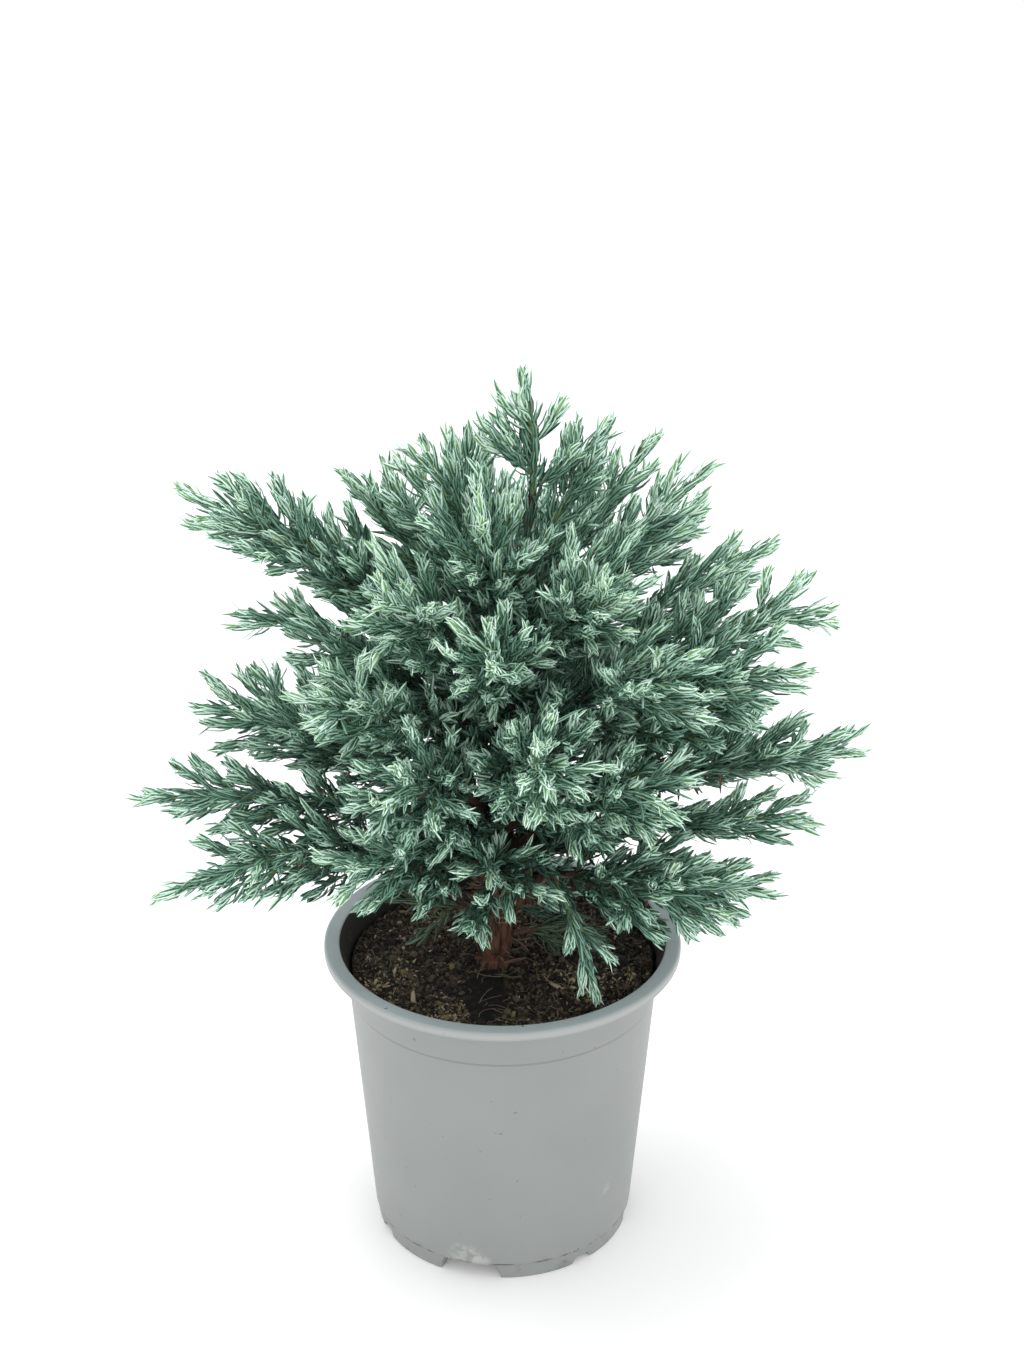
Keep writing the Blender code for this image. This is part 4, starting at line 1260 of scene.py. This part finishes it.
@dataclasses.dataclass
class Growth:
    """How the shoots of one order stand on the stem that bears them."""

    order: int
    pitch: float
    first: float
    last: float
    angle: float
    tip_angle: float
    longest: float
    shortest: float
    radius: float
    margin: float | None = SPACE_MARGIN
    spread: float = 0.0
    room: float = 0.0
    cap: float = SHOOT_CAP

    def along(self, stem, rule, space, owner, fullness=1.0):
        """Shoots turn round the stem by the golden angle, and shorten outwards."""
        turn = rule.uniform(0.0, math.tau)
        along = self.first
        shoots = []
        while along < stem.reach - self.last:
            forward = stem.tangent(along)
            outer = along / stem.reach
            direction = self.heading(forward, turn, outer, rule)
            full = self.longest + (self.shortest - self.longest) * outer ** SHOOT_SHORTENS
            full *= fullness * rule.uniform(*LENGTH_VARIES)
            full = min(full, self.cap * (stem.reach - along) + SHOOT_CAP_BASE)
            start = (stem.at(along), direction, forward)
            run = self.fitting_run(start, full, space, owner)
            if run:
                place = outer if stem.order == 0 else stem.outer + TWIG_PLACE * outer
                shoots.append(Shoot(shoot_path(*start, run), run, self.order, place))
            turn += TURN
            along += self.pitch * rule.uniform(*PITCH_VARIES)
        return shoots

    def heading(self, forward, turn, outer, rule):
        """The direction in which a shoot leaves its stem. Further out it leans closer to it."""
        side, up = (vector[0] for vector in frames_on(forward[None, :]))
        outward = math.cos(turn) * side + math.sin(turn) * up
        lean = self.angle + (self.tip_angle - self.angle) * outer
        if self.spread:
            lean += rule.uniform(-self.spread, self.spread)
            outward = outward + rule.uniform(0.0, self.spread) * UP
        return leaning(forward, outward, lean)

    def fitting_run(self, start, full, space, owner):
        """The longest of a few lengths at which a shoot keeps to its plume's space, or 0."""
        for cut in SHOOT_TRIES:
            run = cut * full
            if run < SHOOT_LEAST:
                break
            steps = max(TESTED_LEAST, round(run / SHOOT_WHORL))
            tested = shoot_points(*start, run, steps)
            if space.holds(owner, tested[1:], self.radius, self.margin, self.room):
                space.tips.append(tested[-1])
                return run
        return 0.0


def shoot_points(base, direction, forward, run, steps, short=0.0, lift=0.0):
    """Points along a shoot that bends a little towards the plume's tip and the light."""
    along = np.linspace(0.0, run - short, steps + 1)[:, None]
    bend = along * along / run
    return base + along * direction + SHOOT_BEND * bend * forward + lift * bend * UP


def shoot_path(base, direction, forward, run):
    """The path of a shoot that is drawn, up to where its last needles take over."""
    steps = max(PATH_LEAST, round(run / PATH_STEP))
    return shoot_points(base, direction, forward, run, steps, TIP_NEEDLE, SHOOT_LIFT)


def leader_shoots(stem):
    """The leader's own side shoots, to both sides of it."""
    shoots = []
    for below_tip, bearing, opening, run in LEADER_SHOOTS:
        along = stem.reach - below_tip
        forward = stem.tangent(along)
        turn = math.radians(bearing)
        outward = np.array([math.cos(turn), math.sin(turn), 0.0])
        direction = leaning(forward, outward, math.radians(opening))
        path = shoot_path(stem.at(along), direction, forward, run)
        shoots.append(Shoot(path, run, 1, along / stem.reach))
    return shoots


def growth_rules(foliage):
    """How the main shoots, the extra ones, the twigs and the inner shoots grow."""
    main = Growth(
        order=1,
        pitch=SHOOT_PITCH,
        first=SHOOT_FIRST,
        last=SHOOT_LAST,
        angle=SHOOT_ANGLE,
        tip_angle=SHOOT_TIP_ANGLE,
        longest=SHOOT_LONGEST,
        shortest=SHOOT_SHORTEST,
        radius=SHOOT_SPACE,
    )
    fill = dataclasses.replace(
        main,
        pitch=foliage.fill_pitch,
        first=FILL_FIRST,
        longest=foliage.fill_longest,
        shortest=foliage.fill_shortest,
        radius=FILL_SPACE,
        margin=0.0,
        spread=LOOSE_SPREAD,
        room=foliage.fill_room,
    )
    fine = Growth(
        order=2,
        pitch=foliage.twig_pitch,
        first=SHOOT_FIRST,
        last=FINE_LAST,
        angle=foliage.twig_angle,
        tip_angle=FINE_TIP_ANGLE * foliage.twig_angle,
        longest=foliage.twig_longest,
        shortest=foliage.twig_shortest,
        radius=FINE_SPACE,
        margin=FINE_MARGIN,
        spread=LOOSE_SPREAD,
        room=foliage.twig_room,
    )
    inner = Growth(
        order=1,
        pitch=foliage.inner_pitch,
        first=0.0,
        last=0.0,
        angle=foliage.inner_angle,
        tip_angle=foliage.inner_angle,
        longest=foliage.inner_longest,
        shortest=foliage.inner_shortest,
        radius=FINE_SPACE,
        margin=None,
        spread=INNER_SPREAD,
        room=foliage.inner_room,
    )
    return main, fill, fine, inner


def inner_shoots(growth, limb, name, space, owner):
    """Shoots on a bare limb. They count as standing innermost."""
    shoots = growth.along(limb, random.Random(name), space, owner)
    for shoot in shoots:
        shoot.outer = INNER_PLACE
    return shoots


@functools.cache
def grown():
    """Every plume with the shoots that grow on it, from the stem to the finest twig."""
    plumes = [Plume(name, figures) for name, figures in PLUMES.items()]
    space = Space(plumes)
    main, fill, fine, inner = growth_rules(bpy.context.scene.cypress_foliage)
    shoots = {}
    stems = {}
    for owner, plume in enumerate(plumes):
        ends = np.linspace(0.0, plume.length - TIP_NEEDLE, STEM_POINTS)
        stem = Shoot(plume.at(plume.share_at(ends)), plume.length, 0, 0.0)
        stems[plume.name] = stem
        rule = random.Random(plume.name)
        cap = LEADER_CAP if plume.name == "leader" else SHOOT_CAP
        growth = dataclasses.replace(main, cap=cap)
        shoots[plume.name] = growth.along(stem, rule, space, owner, plume.fullness)
        if plume.name == "leader":
            shoots[plume.name] += leader_shoots(stem)
    for owner, plume in enumerate(plumes):
        open_share = OPEN_SHARES.get(plume.name, 0.0)
        if open_share < 1.0:
            growth = dataclasses.replace(fill, first=max(fill.first, open_share * plume.length))
            rule = random.Random(plume.name + " fill")
            fullness = plume.fullness ** FILL_FULLNESS
            shoots[plume.name] += growth.along(stems[plume.name], rule, space, owner, fullness)
    for owner, plume in enumerate(plumes):
        twigs = []
        for number, shoot in enumerate(shoots[plume.name]):
            if shoot.reach > TWIG_BEARING:
                rule = random.Random(f"{plume.name} {number}")
                twigs += fine.along(shoot, rule, space, owner)
        if plume.has_bough:
            bough = Shoot(plume.bough_path, None, 0, 0.0)
            twigs += inner_shoots(inner, bough, plume.name + " bough", space, owner)
        shoots[plume.name] = [stems[plume.name]] + shoots[plume.name] + twigs
    heights = np.linspace(SOIL_TOP + INNER_FOOT, TRUNK_TOP, TRUNK_POINTS)
    axis = Shoot(trunk_axis(heights), TRUNK_TOP - heights[0], 0, 0.0)
    shoots["trunk"] = inner_shoots(inner, axis, "trunk", space, 0)
    return plumes, shoots


# Bark.


def limb(bm, stations, sides):
    """Extrude a circle through stations of (point, tangent, radius) and close its ends."""
    ring = bmesh.ops.create_circle(bm, segments=sides, radius=1.0)["verts"]
    edges = list({edge for vert in ring for edge in vert.link_edges})
    shell = [ring]
    for _ in stations[1:]:
        parts = bmesh.ops.extrude_edge_only(bm, edges=edges)["geom"]
        ring = [part for part in parts if isinstance(part, bmesh.types.BMVert)]
        edges = [part for part in parts if isinstance(part, bmesh.types.BMEdge)]
        edges = [edge for edge in edges if all(vert in ring for vert in edge.verts)]
        shell.append(ring)
    bmesh.ops.contextual_create(bm, geom=shell[0])
    bmesh.ops.contextual_create(bm, geom=shell[-1])
    turn = Matrix.Identity(3)
    facing = Vector(UP)
    for verts, (point, tangent, radius) in zip(shell, stations):
        tangent = Vector(tangent)
        turn = facing.rotation_difference(tangent).to_matrix() @ turn
        facing = tangent
        bmesh.ops.scale(bm, vec=(radius, radius, radius), verts=verts)
        bmesh.ops.rotate(bm, cent=(0.0, 0.0, 0.0), matrix=turn, verts=verts)
        bmesh.ops.translate(bm, vec=point, verts=verts)


def bark_relief(point, grain):
    """Long furrows with swellings across them, between -1 and 1."""
    place = Vector(point)
    drawn_out = Vector((place.x, place.y, STRING_STRETCH * place.z))
    strings = noise.fractal(drawn_out * grain, *STRING_FRACTAL)
    lumps = noise.noise(place * LUMP_SCALE * grain)
    return STRING_SHARE * strings + LUMP_SHARE * lumps


def rough_bark(bm, relief, grain):
    """Push each point of the bark along its normal."""
    bm.normal_update()
    moves = [(vert, vert.normal * relief * bark_relief(vert.co, grain)) for vert in bm.verts]
    for vert, move in moves:
        vert.co += move


def make_trunk(bark):
    """The trunk from just under the soil to where the leader takes over."""
    bm = bmesh.new()
    heights = np.linspace(SOIL_TOP - TRUNK_SUNK, TRUNK_TOP, bark.trunk_steps)
    sections = zip(trunk_axis(heights), trunk_radius(heights))
    limb(bm, [(point, UP, radius) for point, radius in sections], bark.trunk_sides)
    rough_bark(bm, bark.relief, TRUNK_GRAIN)
    mesh = mesh_of("trunk_bark", bm, NEVER_SHARP)
    add_piece("trunk_bark", mesh, [bark_paint(bark)], ["trunk"])


def make_boughs(bark, plumes):
    """The bare limbs, from just inside the trunk to just inside their foliage."""
    bm = bmesh.new()
    for plume in plumes:
        if plume.has_bough:
            low = max(0.0, plume.leave - BOUGH_SUNK)
            shares = np.linspace(low, plume.bare_end + BOUGH_PAST_END, BOUGH_STATIONS)
            radii = np.linspace(BOUGH_RADIUS, BOUGH_TIP_RADIUS, BOUGH_STATIONS)
            stations = list(zip(plume.at(shares), plume.tangent(shares), radii))
            limb(bm, stations, BOUGH_STEPS)
    rough_bark(bm, BOUGH_RELIEF * bark.relief, BOUGH_GRAIN)
    mesh = mesh_of("bough_bark", bm, NEVER_SHARP)
    add_piece("bough_bark", mesh, [bpy.data.materials[BARK_NAME]], BOUGH_NODES)


# Twigs and needles.


def tubes(paths, radii, sides):
    """Slim closed tubes along many paths that have the same number of points."""
    total, rings = paths.shape[:2]
    tangents = unit(np.gradient(paths, axis=1))
    side = frames_on(unit(paths[:, -1] - paths[:, 0]))[0][:, None, :]
    side = unit(side - (side * tangents).sum(2, keepdims=True) * tangents)
    up = np.cross(side, tangents)
    turns = (math.tau * np.arange(sides) / sides)[:, None]
    across = np.cos(turns) * side[:, :, None, :] + np.sin(turns) * up[:, :, None, :]
    corners = paths[:, :, None, :] + radii[:, :, None, None] * across
    return stamp(tube_template(rings, sides), corners.reshape(total, -1, 3))


def tube_template(rings, sides):
    """A straight tube, its corners numbered ring by ring and then round each ring."""
    bm = bmesh.new()
    limb(bm, [(i * UP, UP, 1.0) for i in range(rings)], sides)
    points, triangles = arrays_of(bm)
    eighths = 8 * sides
    turn = np.round(np.arctan2(points[:, 1], points[:, 0]) / math.tau * eighths) % eighths
    order = np.lexsort((turn, np.round(points[:, 2])))
    numbers = np.empty(len(order), int)
    numbers[order] = np.arange(len(order))
    return points[order], numbers[triangles]


def needle_template():
    """A slim trough-shaped blade, pointed at both ends, in three strips along its length.

    It points up +Z from the origin. Its keel is towards +Y, and its margins bend back.
    """
    bm = bmesh.new()
    bmesh.ops.create_grid(bm, x_segments=3, y_segments=4, size=0.5)
    heights = sorted({round(vert.co.y, 3) for vert in bm.verts})
    rows = [[vert for vert in bm.verts if abs(vert.co.y - height) < 0.01] for height in heights]
    for row, (along, width) in zip(rows, NEEDLE_STATIONS):
        for vert in row:
            edge = abs(vert.co.x) > MARGIN_FROM
            across = 0.5 if edge else 0.5 * KEEL_SHARE
            vert.co = (math.copysign(across * width, vert.co.x), -0.5 if edge else 0.5, along)
    for row in (rows[0], rows[-1]):
        middle = sum((vert.co for vert in row), Vector()) / len(row)
        bmesh.ops.pointmerge(bm, verts=row, merge_co=middle)
    return arrays_of(bm)


def template_finishes(template):
    """For each triangle of a needle: 0 on its two margins and 1 on the keel between them."""
    points, triangles = template
    return (np.abs(points[triangles][:, :, 0].mean(1)) < KEEL_WITHIN).astype(int)


@dataclasses.dataclass
class Needles:
    """Rows of needles: where each starts, where it points, and how it is rolled and bent."""

    base: np.ndarray
    direction: np.ndarray
    outward: np.ndarray
    bend: np.ndarray
    run: np.ndarray
    width: np.ndarray
    level: np.ndarray

    @classmethod
    def joined(cls, rows):
        return cls(*(np.concatenate(columns) for columns in zip(*(vars(row).values() for row in rows))))

    def kept(self, mask):
        return Needles(*(column[mask] for column in vars(self).values()))

    def at(self, share):
        """The point at a share of each needle's length."""
        return self.base + share * self.run[:, None] * (self.direction + share * self.bend)

    def corners(self, template):
        """The template's corners, moved onto every needle."""
        x, y, z = template[0].T
        keel = unit(self.outward - (self.outward * self.direction).sum(1)[:, None] * self.direction)
        side = np.cross(self.direction, keel)
        run = self.run[:, None, None]
        width = self.width[:, None, None]
        along = z[:, None] * self.direction[:, None] + (z * z)[:, None] * self.bend[:, None]
        across = x[:, None] * side[:, None] + NEEDLE_FLATNESS * y[:, None] * keel[:, None]
        return self.base[:, None] + run * along + width * across


def needles_on(shoot, foliage, rng):
    """Needles round one shoot, turned by the golden angle, closing like claws at its tip."""
    first = FIRST_NEEDLE if shoot.order else STEM_FIRST_NEEDLE
    near_tip = min(max(shoot.outer / OUTER_FULL, 0.0), 1.0) if shoot.order else STEM_CROWDING
    closer = foliage.needle_pitch - foliage.inner_needle_pitch
    along = np.arange(first, shoot.length, foliage.inner_needle_pitch + closer * near_tip)
    bud = shoot.length - BUD_LENGTH * rng.uniform(0.0, 1.0, BUD_NEEDLES) ** BUD_CROWDING
    along = np.concatenate((along, bud))
    total = len(along)
    forward = shoot.tangent(along)
    side, up = frames_on(forward)
    turn = (TURN * np.arange(total) + rng.uniform(0.0, math.tau))[:, None]
    turn = turn + rng.normal(0.0, TURN_SPREAD, (total, 1))
    outward = np.cos(turn) * side + np.sin(turn) * up
    tuft = 1.0 - np.clip((shoot.length - along) / TUFT_LENGTH, 0.0, 1.0)
    place = shoot.outer if shoot.order else along / shoot.length
    outer = np.clip(place / OUTER_FULL, 0.0, 1.0) * np.ones(total)
    lean = foliage.inner_angle + (foliage.needle_angle - foliage.inner_angle) * outer
    lean = lean * (1.0 - TUFT_LEAN * tuft) * rng.normal(1.0, LEAN_SPREAD, total)
    lean = np.clip(lean, *LEAN_LIMITS)[:, None]
    direction = np.cos(lean) * forward + np.sin(lean) * outward
    direction = unit(direction + NEEDLE_LIFT * UP + rng.normal(0.0, NEEDLE_SPREAD, (total, 3)))
    curl = (CURL - TUFT_CURL * tuft)[:, None] + rng.normal(0.0, CURL_SPREAD, (total, 1))
    bend = curl * (CURL_FORWARD * forward - outward) + rng.normal(0.0, BEND_SPREAD, (total, 3))
    young = np.clip(along / YOUNG_STRETCH, 0.0, 1.0)
    run = foliage.needle_length * rng.normal(1.0, SIZE_SPREAD, total)
    run *= (1.0 - YOUNG_SHORTER + YOUNG_SHORTER * young) * (1.0 - TUFT_SHORTER * tuft)
    wide = np.maximum(OUTER_WIDENS * outer, tuft)
    width = foliage.inner_width + (foliage.needle_width - foliage.inner_width) * wide
    width = width * rng.normal(1.0, SIZE_SPREAD, total)
    roll = rng.normal(0.0, ROLL_SPREAD, (total, 1))
    keel = outward + roll * np.cross(direction, outward)
    # Painted light and shade: higher, outer and tip needles get paler kinds, inner ones darker, over
    # their own colour.
    level = LEVEL_OUTER * outer + LEVEL_TUFT * tuft + HIGH_PAINTED_LIGHT * high_share(shoot)
    level = level + rng.normal(0.0, SHOOT_LEVEL_SPREAD) + rng.normal(0.0, LEVEL_SPREAD, total)
    base = shoot.at(along) + NEEDLE_START * outward
    return Needles(base, direction, keel, bend, run, width, level)


def high_share(shoot):
    """How high in the crown a shoot stands, from 0 at the rim to 1 at the top."""
    height = shoot.path[:, 2].mean()
    return min(max((height - POT_HEIGHT) / (CROWN_TOP - POT_HEIGHT), 0.0), 1.0)


def add_needles(kind, rows, paints, rng, replaced=()):
    """Pieces of one kind of needle, painted on its margins and on its keel."""
    template = needle_template()
    finishes = template_finishes(template)
    chunk = PIECE_LIMIT // len(finishes)
    pieces = max(1, math.ceil(len(rows.run) / chunk))
    order = rng.permutation(len(rows.run))
    for number in range(pieces):
        part = rows.kept(order[number::pieces])
        points, triangles = stamp(template, part.corners(template))
        name = f"needles_{kind}_{number + 1}"
        mesh = mesh_from_arrays(name, points, triangles, np.tile(finishes, len(part.run)), False)
        add_piece(name, mesh, paints, replaced if number == 0 else ())


def make_needles(foliage):
    """Needles on every shoot, in pieces of one kind each."""
    rng = np.random.default_rng(NEEDLE_SEED)
    rows = []
    for name, group in grown()[1].items():
        for shoot in group:
            row = needles_on(shoot, foliage, rng)
            if name in SHADED:
                row.level[:] = SHADED_LEVEL
            rows.append(row)
    rows = Needles.joined(rows)
    tips, middles = rows.at(1.0), rows.at(0.5)
    clear = clear_of_pot(tips, TIP_CLEARANCE) & clear_of_pot(middles, MIDDLE_CLEARANCE)
    for points in (tips, middles):
        clear &= trunk_clearance(points) > TRUNK_CLEARANCE
    rows = rows.kept(clear)
    paints = {}
    for key, (name, roughness) in NEEDLE_PAINTS.items():
        paints[key] = plain_paint(name, getattr(foliage, key), roughness)
    cuts = np.searchsorted(KIND_LEVELS, rows.level)
    for number, (kind, (margin, keel)) in enumerate(NEEDLE_KINDS.items()):
        replaced = FOLIAGE_NODES if kind == "silver" else ()
        pair = [paints[margin], paints[keel]]
        add_needles(kind, rows.kept(cuts == number), pair, rng, replaced)


def make_dead_needles(foliage, bark):
    """Dead needles: under the inner shoots, and as stubs on the foot of the trunk."""
    rng = np.random.default_rng(DEAD_SEED)
    plumes, shoots = grown()
    base, outward = [], []
    for plume in plumes:
        if not plume.name.startswith("low"):
            continue
        stem = shoots[plume.name][0]
        along = rng.uniform(*DEAD_SHARES, DEAD_NEEDLES) * stem.length
        side, up = frames_on(stem.tangent(along))
        turn = rng.uniform(math.pi, math.tau, (DEAD_NEEDLES, 1))
        base.append(stem.at(along))
        outward.append(np.cos(turn) * side + np.sin(turn) * up - DEAD_DROOP * UP)
    height = SOIL_TOP + rng.uniform(*STUB_HEIGHTS, bark.stubs)
    turn = rng.uniform(0.0, math.tau, bark.stubs)
    away = np.stack((np.cos(turn), np.sin(turn), 0.0 * turn), axis=1)
    base.append(trunk_axis(height) + (trunk_radius(height) - STUB_SUNK)[:, None] * away)
    outward.append(away + rng.uniform(*STUB_LIFTS, (bark.stubs, 1)) * UP)
    base, outward = np.concatenate(base), unit(np.concatenate(outward))
    total = len(base)
    direction = unit(outward + rng.normal(0.0, DEAD_SPREAD, (total, 3)))
    bend = rng.normal(0.0, DEAD_BEND, (total, 3)) - DEAD_SAG * UP
    run = foliage.needle_length * rng.uniform(*DEAD_LENGTHS, total)
    width = DEAD_WIDTH * foliage.needle_width * np.ones(total)
    keel = np.cross(direction, rng.normal(size=(total, 3)))
    rows = Needles(base, direction, keel, bend, run, width, np.zeros(total))
    rows = rows.kept(clear_of_pot(rows.at(1.0), TIP_CLEARANCE))
    dead = plain_paint("dead needle", foliage.dead, 0.8)
    dry = plain_paint("dry needle edge", scaled(foliage.dead, 1.7), 0.8)
    add_needles("dead", rows, [dry, dead], rng)


def add_twigs(name, shoots, span, radii, tube, material):
    """One piece of twigs, over a span of each shoot, tapering between two radii."""
    rings, sides = tube
    shares = np.linspace(*span, rings)
    paths = np.stack([shoot.at(shares * shoot.length) for shoot in shoots])
    radii = np.linspace(*radii, rings)[None, :] * np.ones((len(paths), 1))
    mesh = mesh_from_arrays(name, *tubes(paths, radii, sides))
    add_piece(name, mesh, [material])


def make_twigs(foliage):
    """Brown stems near the trunk, green ones outwards, and the shoots and twigs on them."""
    shoots = grown()[1]
    wood = plain_paint("woody stem", foliage.wood, 0.8)
    green = plain_paint("green stem", foliage.stem)
    stems, side, fine = (
        [shoot for group in shoots.values() for shoot in group if shoot.order == order]
        for order in range(3)
    )
    middle = STEM_RADIUS + WOODY_SHARE * (STEM_TIP_RADIUS - STEM_RADIUS)
    inner, outer = (0.0, WOODY_SHARE), (WOODY_SHARE - STEM_OVERLAP, 1.0)
    add_twigs("stems_woody", stems, inner, (STEM_RADIUS, middle), WOODY_TUBE, wood)
    for name, group, span, radii, tube in (
        ("stems_green", stems, outer, (middle, STEM_TIP_RADIUS), GREEN_TUBE),
        ("shoots_green", side, (0.0, 1.0), (SIDE_RADIUS, TWIG_TAPER * SIDE_RADIUS), SHOOT_TUBE),
        ("twigs_green", fine, (0.0, 1.0), (TWIG_RADIUS, TWIG_TAPER * TWIG_RADIUS), TWIG_TUBE),
    ):
        add_twigs(name, group, span, radii, tube, green)


# Stage.


def soft_light(name, place, target, side, power):
    light = bpy.data.lights.new(name, "AREA")
    light.shape = "SQUARE"
    light.size = side
    light.energy = power
    lamp = placed(name, light)
    lamp.location = place
    facing = Vector(target) - Vector(place)
    lamp.rotation_euler = facing.to_track_quat("-Z", "Y").to_euler()


def make_stage(stage):
    """A white floor in white surroundings, two soft lights, and the camera."""
    bm = bmesh.new()
    bmesh.ops.create_grid(bm, x_segments=1, y_segments=1, size=0.5 * stage.floor_size)
    mesh = bpy.data.meshes.new("floor")
    bm.to_mesh(mesh)
    bm.free()
    glow = {"Emission_Color": (1.0, 1.0, 1.0), "Emission_Strength": stage.floor_glow}
    paint = plain_paint("white floor", stage.floor, 0.9, Specular_IOR_Level=0.1, **glow)
    mesh.materials.append(paint)
    floor = placed("floor", mesh)
    world = bpy.data.worlds.new("white surroundings")
    world.use_nodes = True
    sky = world.node_tree.nodes["Background"]
    sky.inputs["Color"].default_value = (1.0, 1.0, 1.0, 1.0)
    sky.inputs["Strength"].default_value = stage.world_strength
    scene = bpy.context.scene
    scene.world = world
    soft_light("key light", KEY_PLACE, CROWN_MIDDLE, KEY_SIDE, stage.key_power)
    soft_light("fill light", FILL_PLACE, CROWN_MIDDLE, FILL_SIDE, stage.fill_power)
    lens = bpy.data.cameras.new("camera")
    lens.lens = stage.camera_lens
    camera = placed("camera", lens)
    camera.location = (0.0, -stage.camera_back, stage.camera_height)
    camera.rotation_euler = (0.5 * math.pi - stage.camera_pitch, 0.0, -stage.camera_yaw)
    scene.camera = camera
    scene.view_settings.view_transform = "Standard"


# Operators and panel.


class CYPRESS_OT_pot(bpy.types.Operator):
    """Build the grey pot with its lip, ledge and feet"""

    bl_idname = "cypress.pot"
    bl_label = "Pot"

    def execute(self, context):
        make_pot(context.scene.cypress_pot)
        return {"FINISHED"}


class CYPRESS_OT_soil(bpy.types.Operator):
    """Build the peat bed with its crumbs and fibres"""

    bl_idname = "cypress.soil"
    bl_label = "Soil"

    def execute(self, context):
        soil = context.scene.cypress_soil
        make_soil_bed(soil)
        make_crumbs(soil)
        make_fibres(soil)
        return {"FINISHED"}


class CYPRESS_OT_bark(bpy.types.Operator):
    """Build the trunk and the boughs with their bark"""

    bl_idname = "cypress.bark"
    bl_label = "Trunk and boughs"

    def execute(self, context):
        bark = context.scene.cypress_bark
        make_trunk(bark)
        make_boughs(bark, grown()[0])
        return {"FINISHED"}


class CYPRESS_OT_twigs(bpy.types.Operator):
    """Build the stems, shoots and twigs"""

    bl_idname = "cypress.twigs"
    bl_label = "Twigs"

    def execute(self, context):
        make_twigs(context.scene.cypress_foliage)
        return {"FINISHED"}


class CYPRESS_OT_needles(bpy.types.Operator):
    """Build the needles, each kind apart"""

    bl_idname = "cypress.needles"
    bl_label = "Needles"

    def execute(self, context):
        scene = context.scene
        make_needles(scene.cypress_foliage)
        make_dead_needles(scene.cypress_foliage, scene.cypress_bark)
        return {"FINISHED"}


class CYPRESS_OT_stage(bpy.types.Operator):
    """Build the floor, the lights and the camera"""

    bl_idname = "cypress.stage"
    bl_label = "Stage"

    def execute(self, context):
        make_stage(context.scene.cypress_stage)
        return {"FINISHED"}


class CYPRESS_PT_sidebar(bpy.types.Panel):
    """The cypress's settings, with an operator for each group of pieces"""

    bl_idname = "CYPRESS_PT_sidebar"
    bl_label = "Potted false cypress"
    bl_space_type = "VIEW_3D"
    bl_region_type = "UI"
    bl_category = "Cypress"

    def draw(self, context):
        for attribute, kinds in PANEL_ROWS.items():
            box = self.layout.box()
            settings = getattr(context.scene, attribute)
            for key in settings.__annotations__:
                box.prop(settings, key)
            for kind in kinds:
                box.operator(kind.bl_idname)


PANEL_ROWS = {
    "cypress_pot": (CYPRESS_OT_pot,),
    "cypress_soil": (CYPRESS_OT_soil,),
    "cypress_bark": (CYPRESS_OT_bark,),
    "cypress_foliage": (CYPRESS_OT_twigs, CYPRESS_OT_needles),
    "cypress_stage": (CYPRESS_OT_stage,),
}
OPERATORS = tuple(kind for kinds in PANEL_ROWS.values() for kind in kinds)


def register():
    for name, settings in SETTINGS.items():
        bpy.utils.register_class(settings)
        setattr(bpy.types.Scene, name, PointerProperty(type=settings))
    for kind in OPERATORS + (CYPRESS_PT_sidebar,):
        bpy.utils.register_class(kind)


def unregister():
    for kind in reversed(OPERATORS + (CYPRESS_PT_sidebar,)):
        bpy.utils.unregister_class(kind)
    for name, settings in reversed(SETTINGS.items()):
        delattr(bpy.types.Scene, name)
        bpy.utils.unregister_class(settings)


def main():
    register()
    bpy.ops.cypress.pot()
    bpy.ops.cypress.soil()
    bpy.ops.cypress.bark()
    bpy.ops.cypress.twigs()
    bpy.ops.cypress.needles()
    bpy.ops.cypress.stage()
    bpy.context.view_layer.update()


if __name__ == "__main__":
    main()
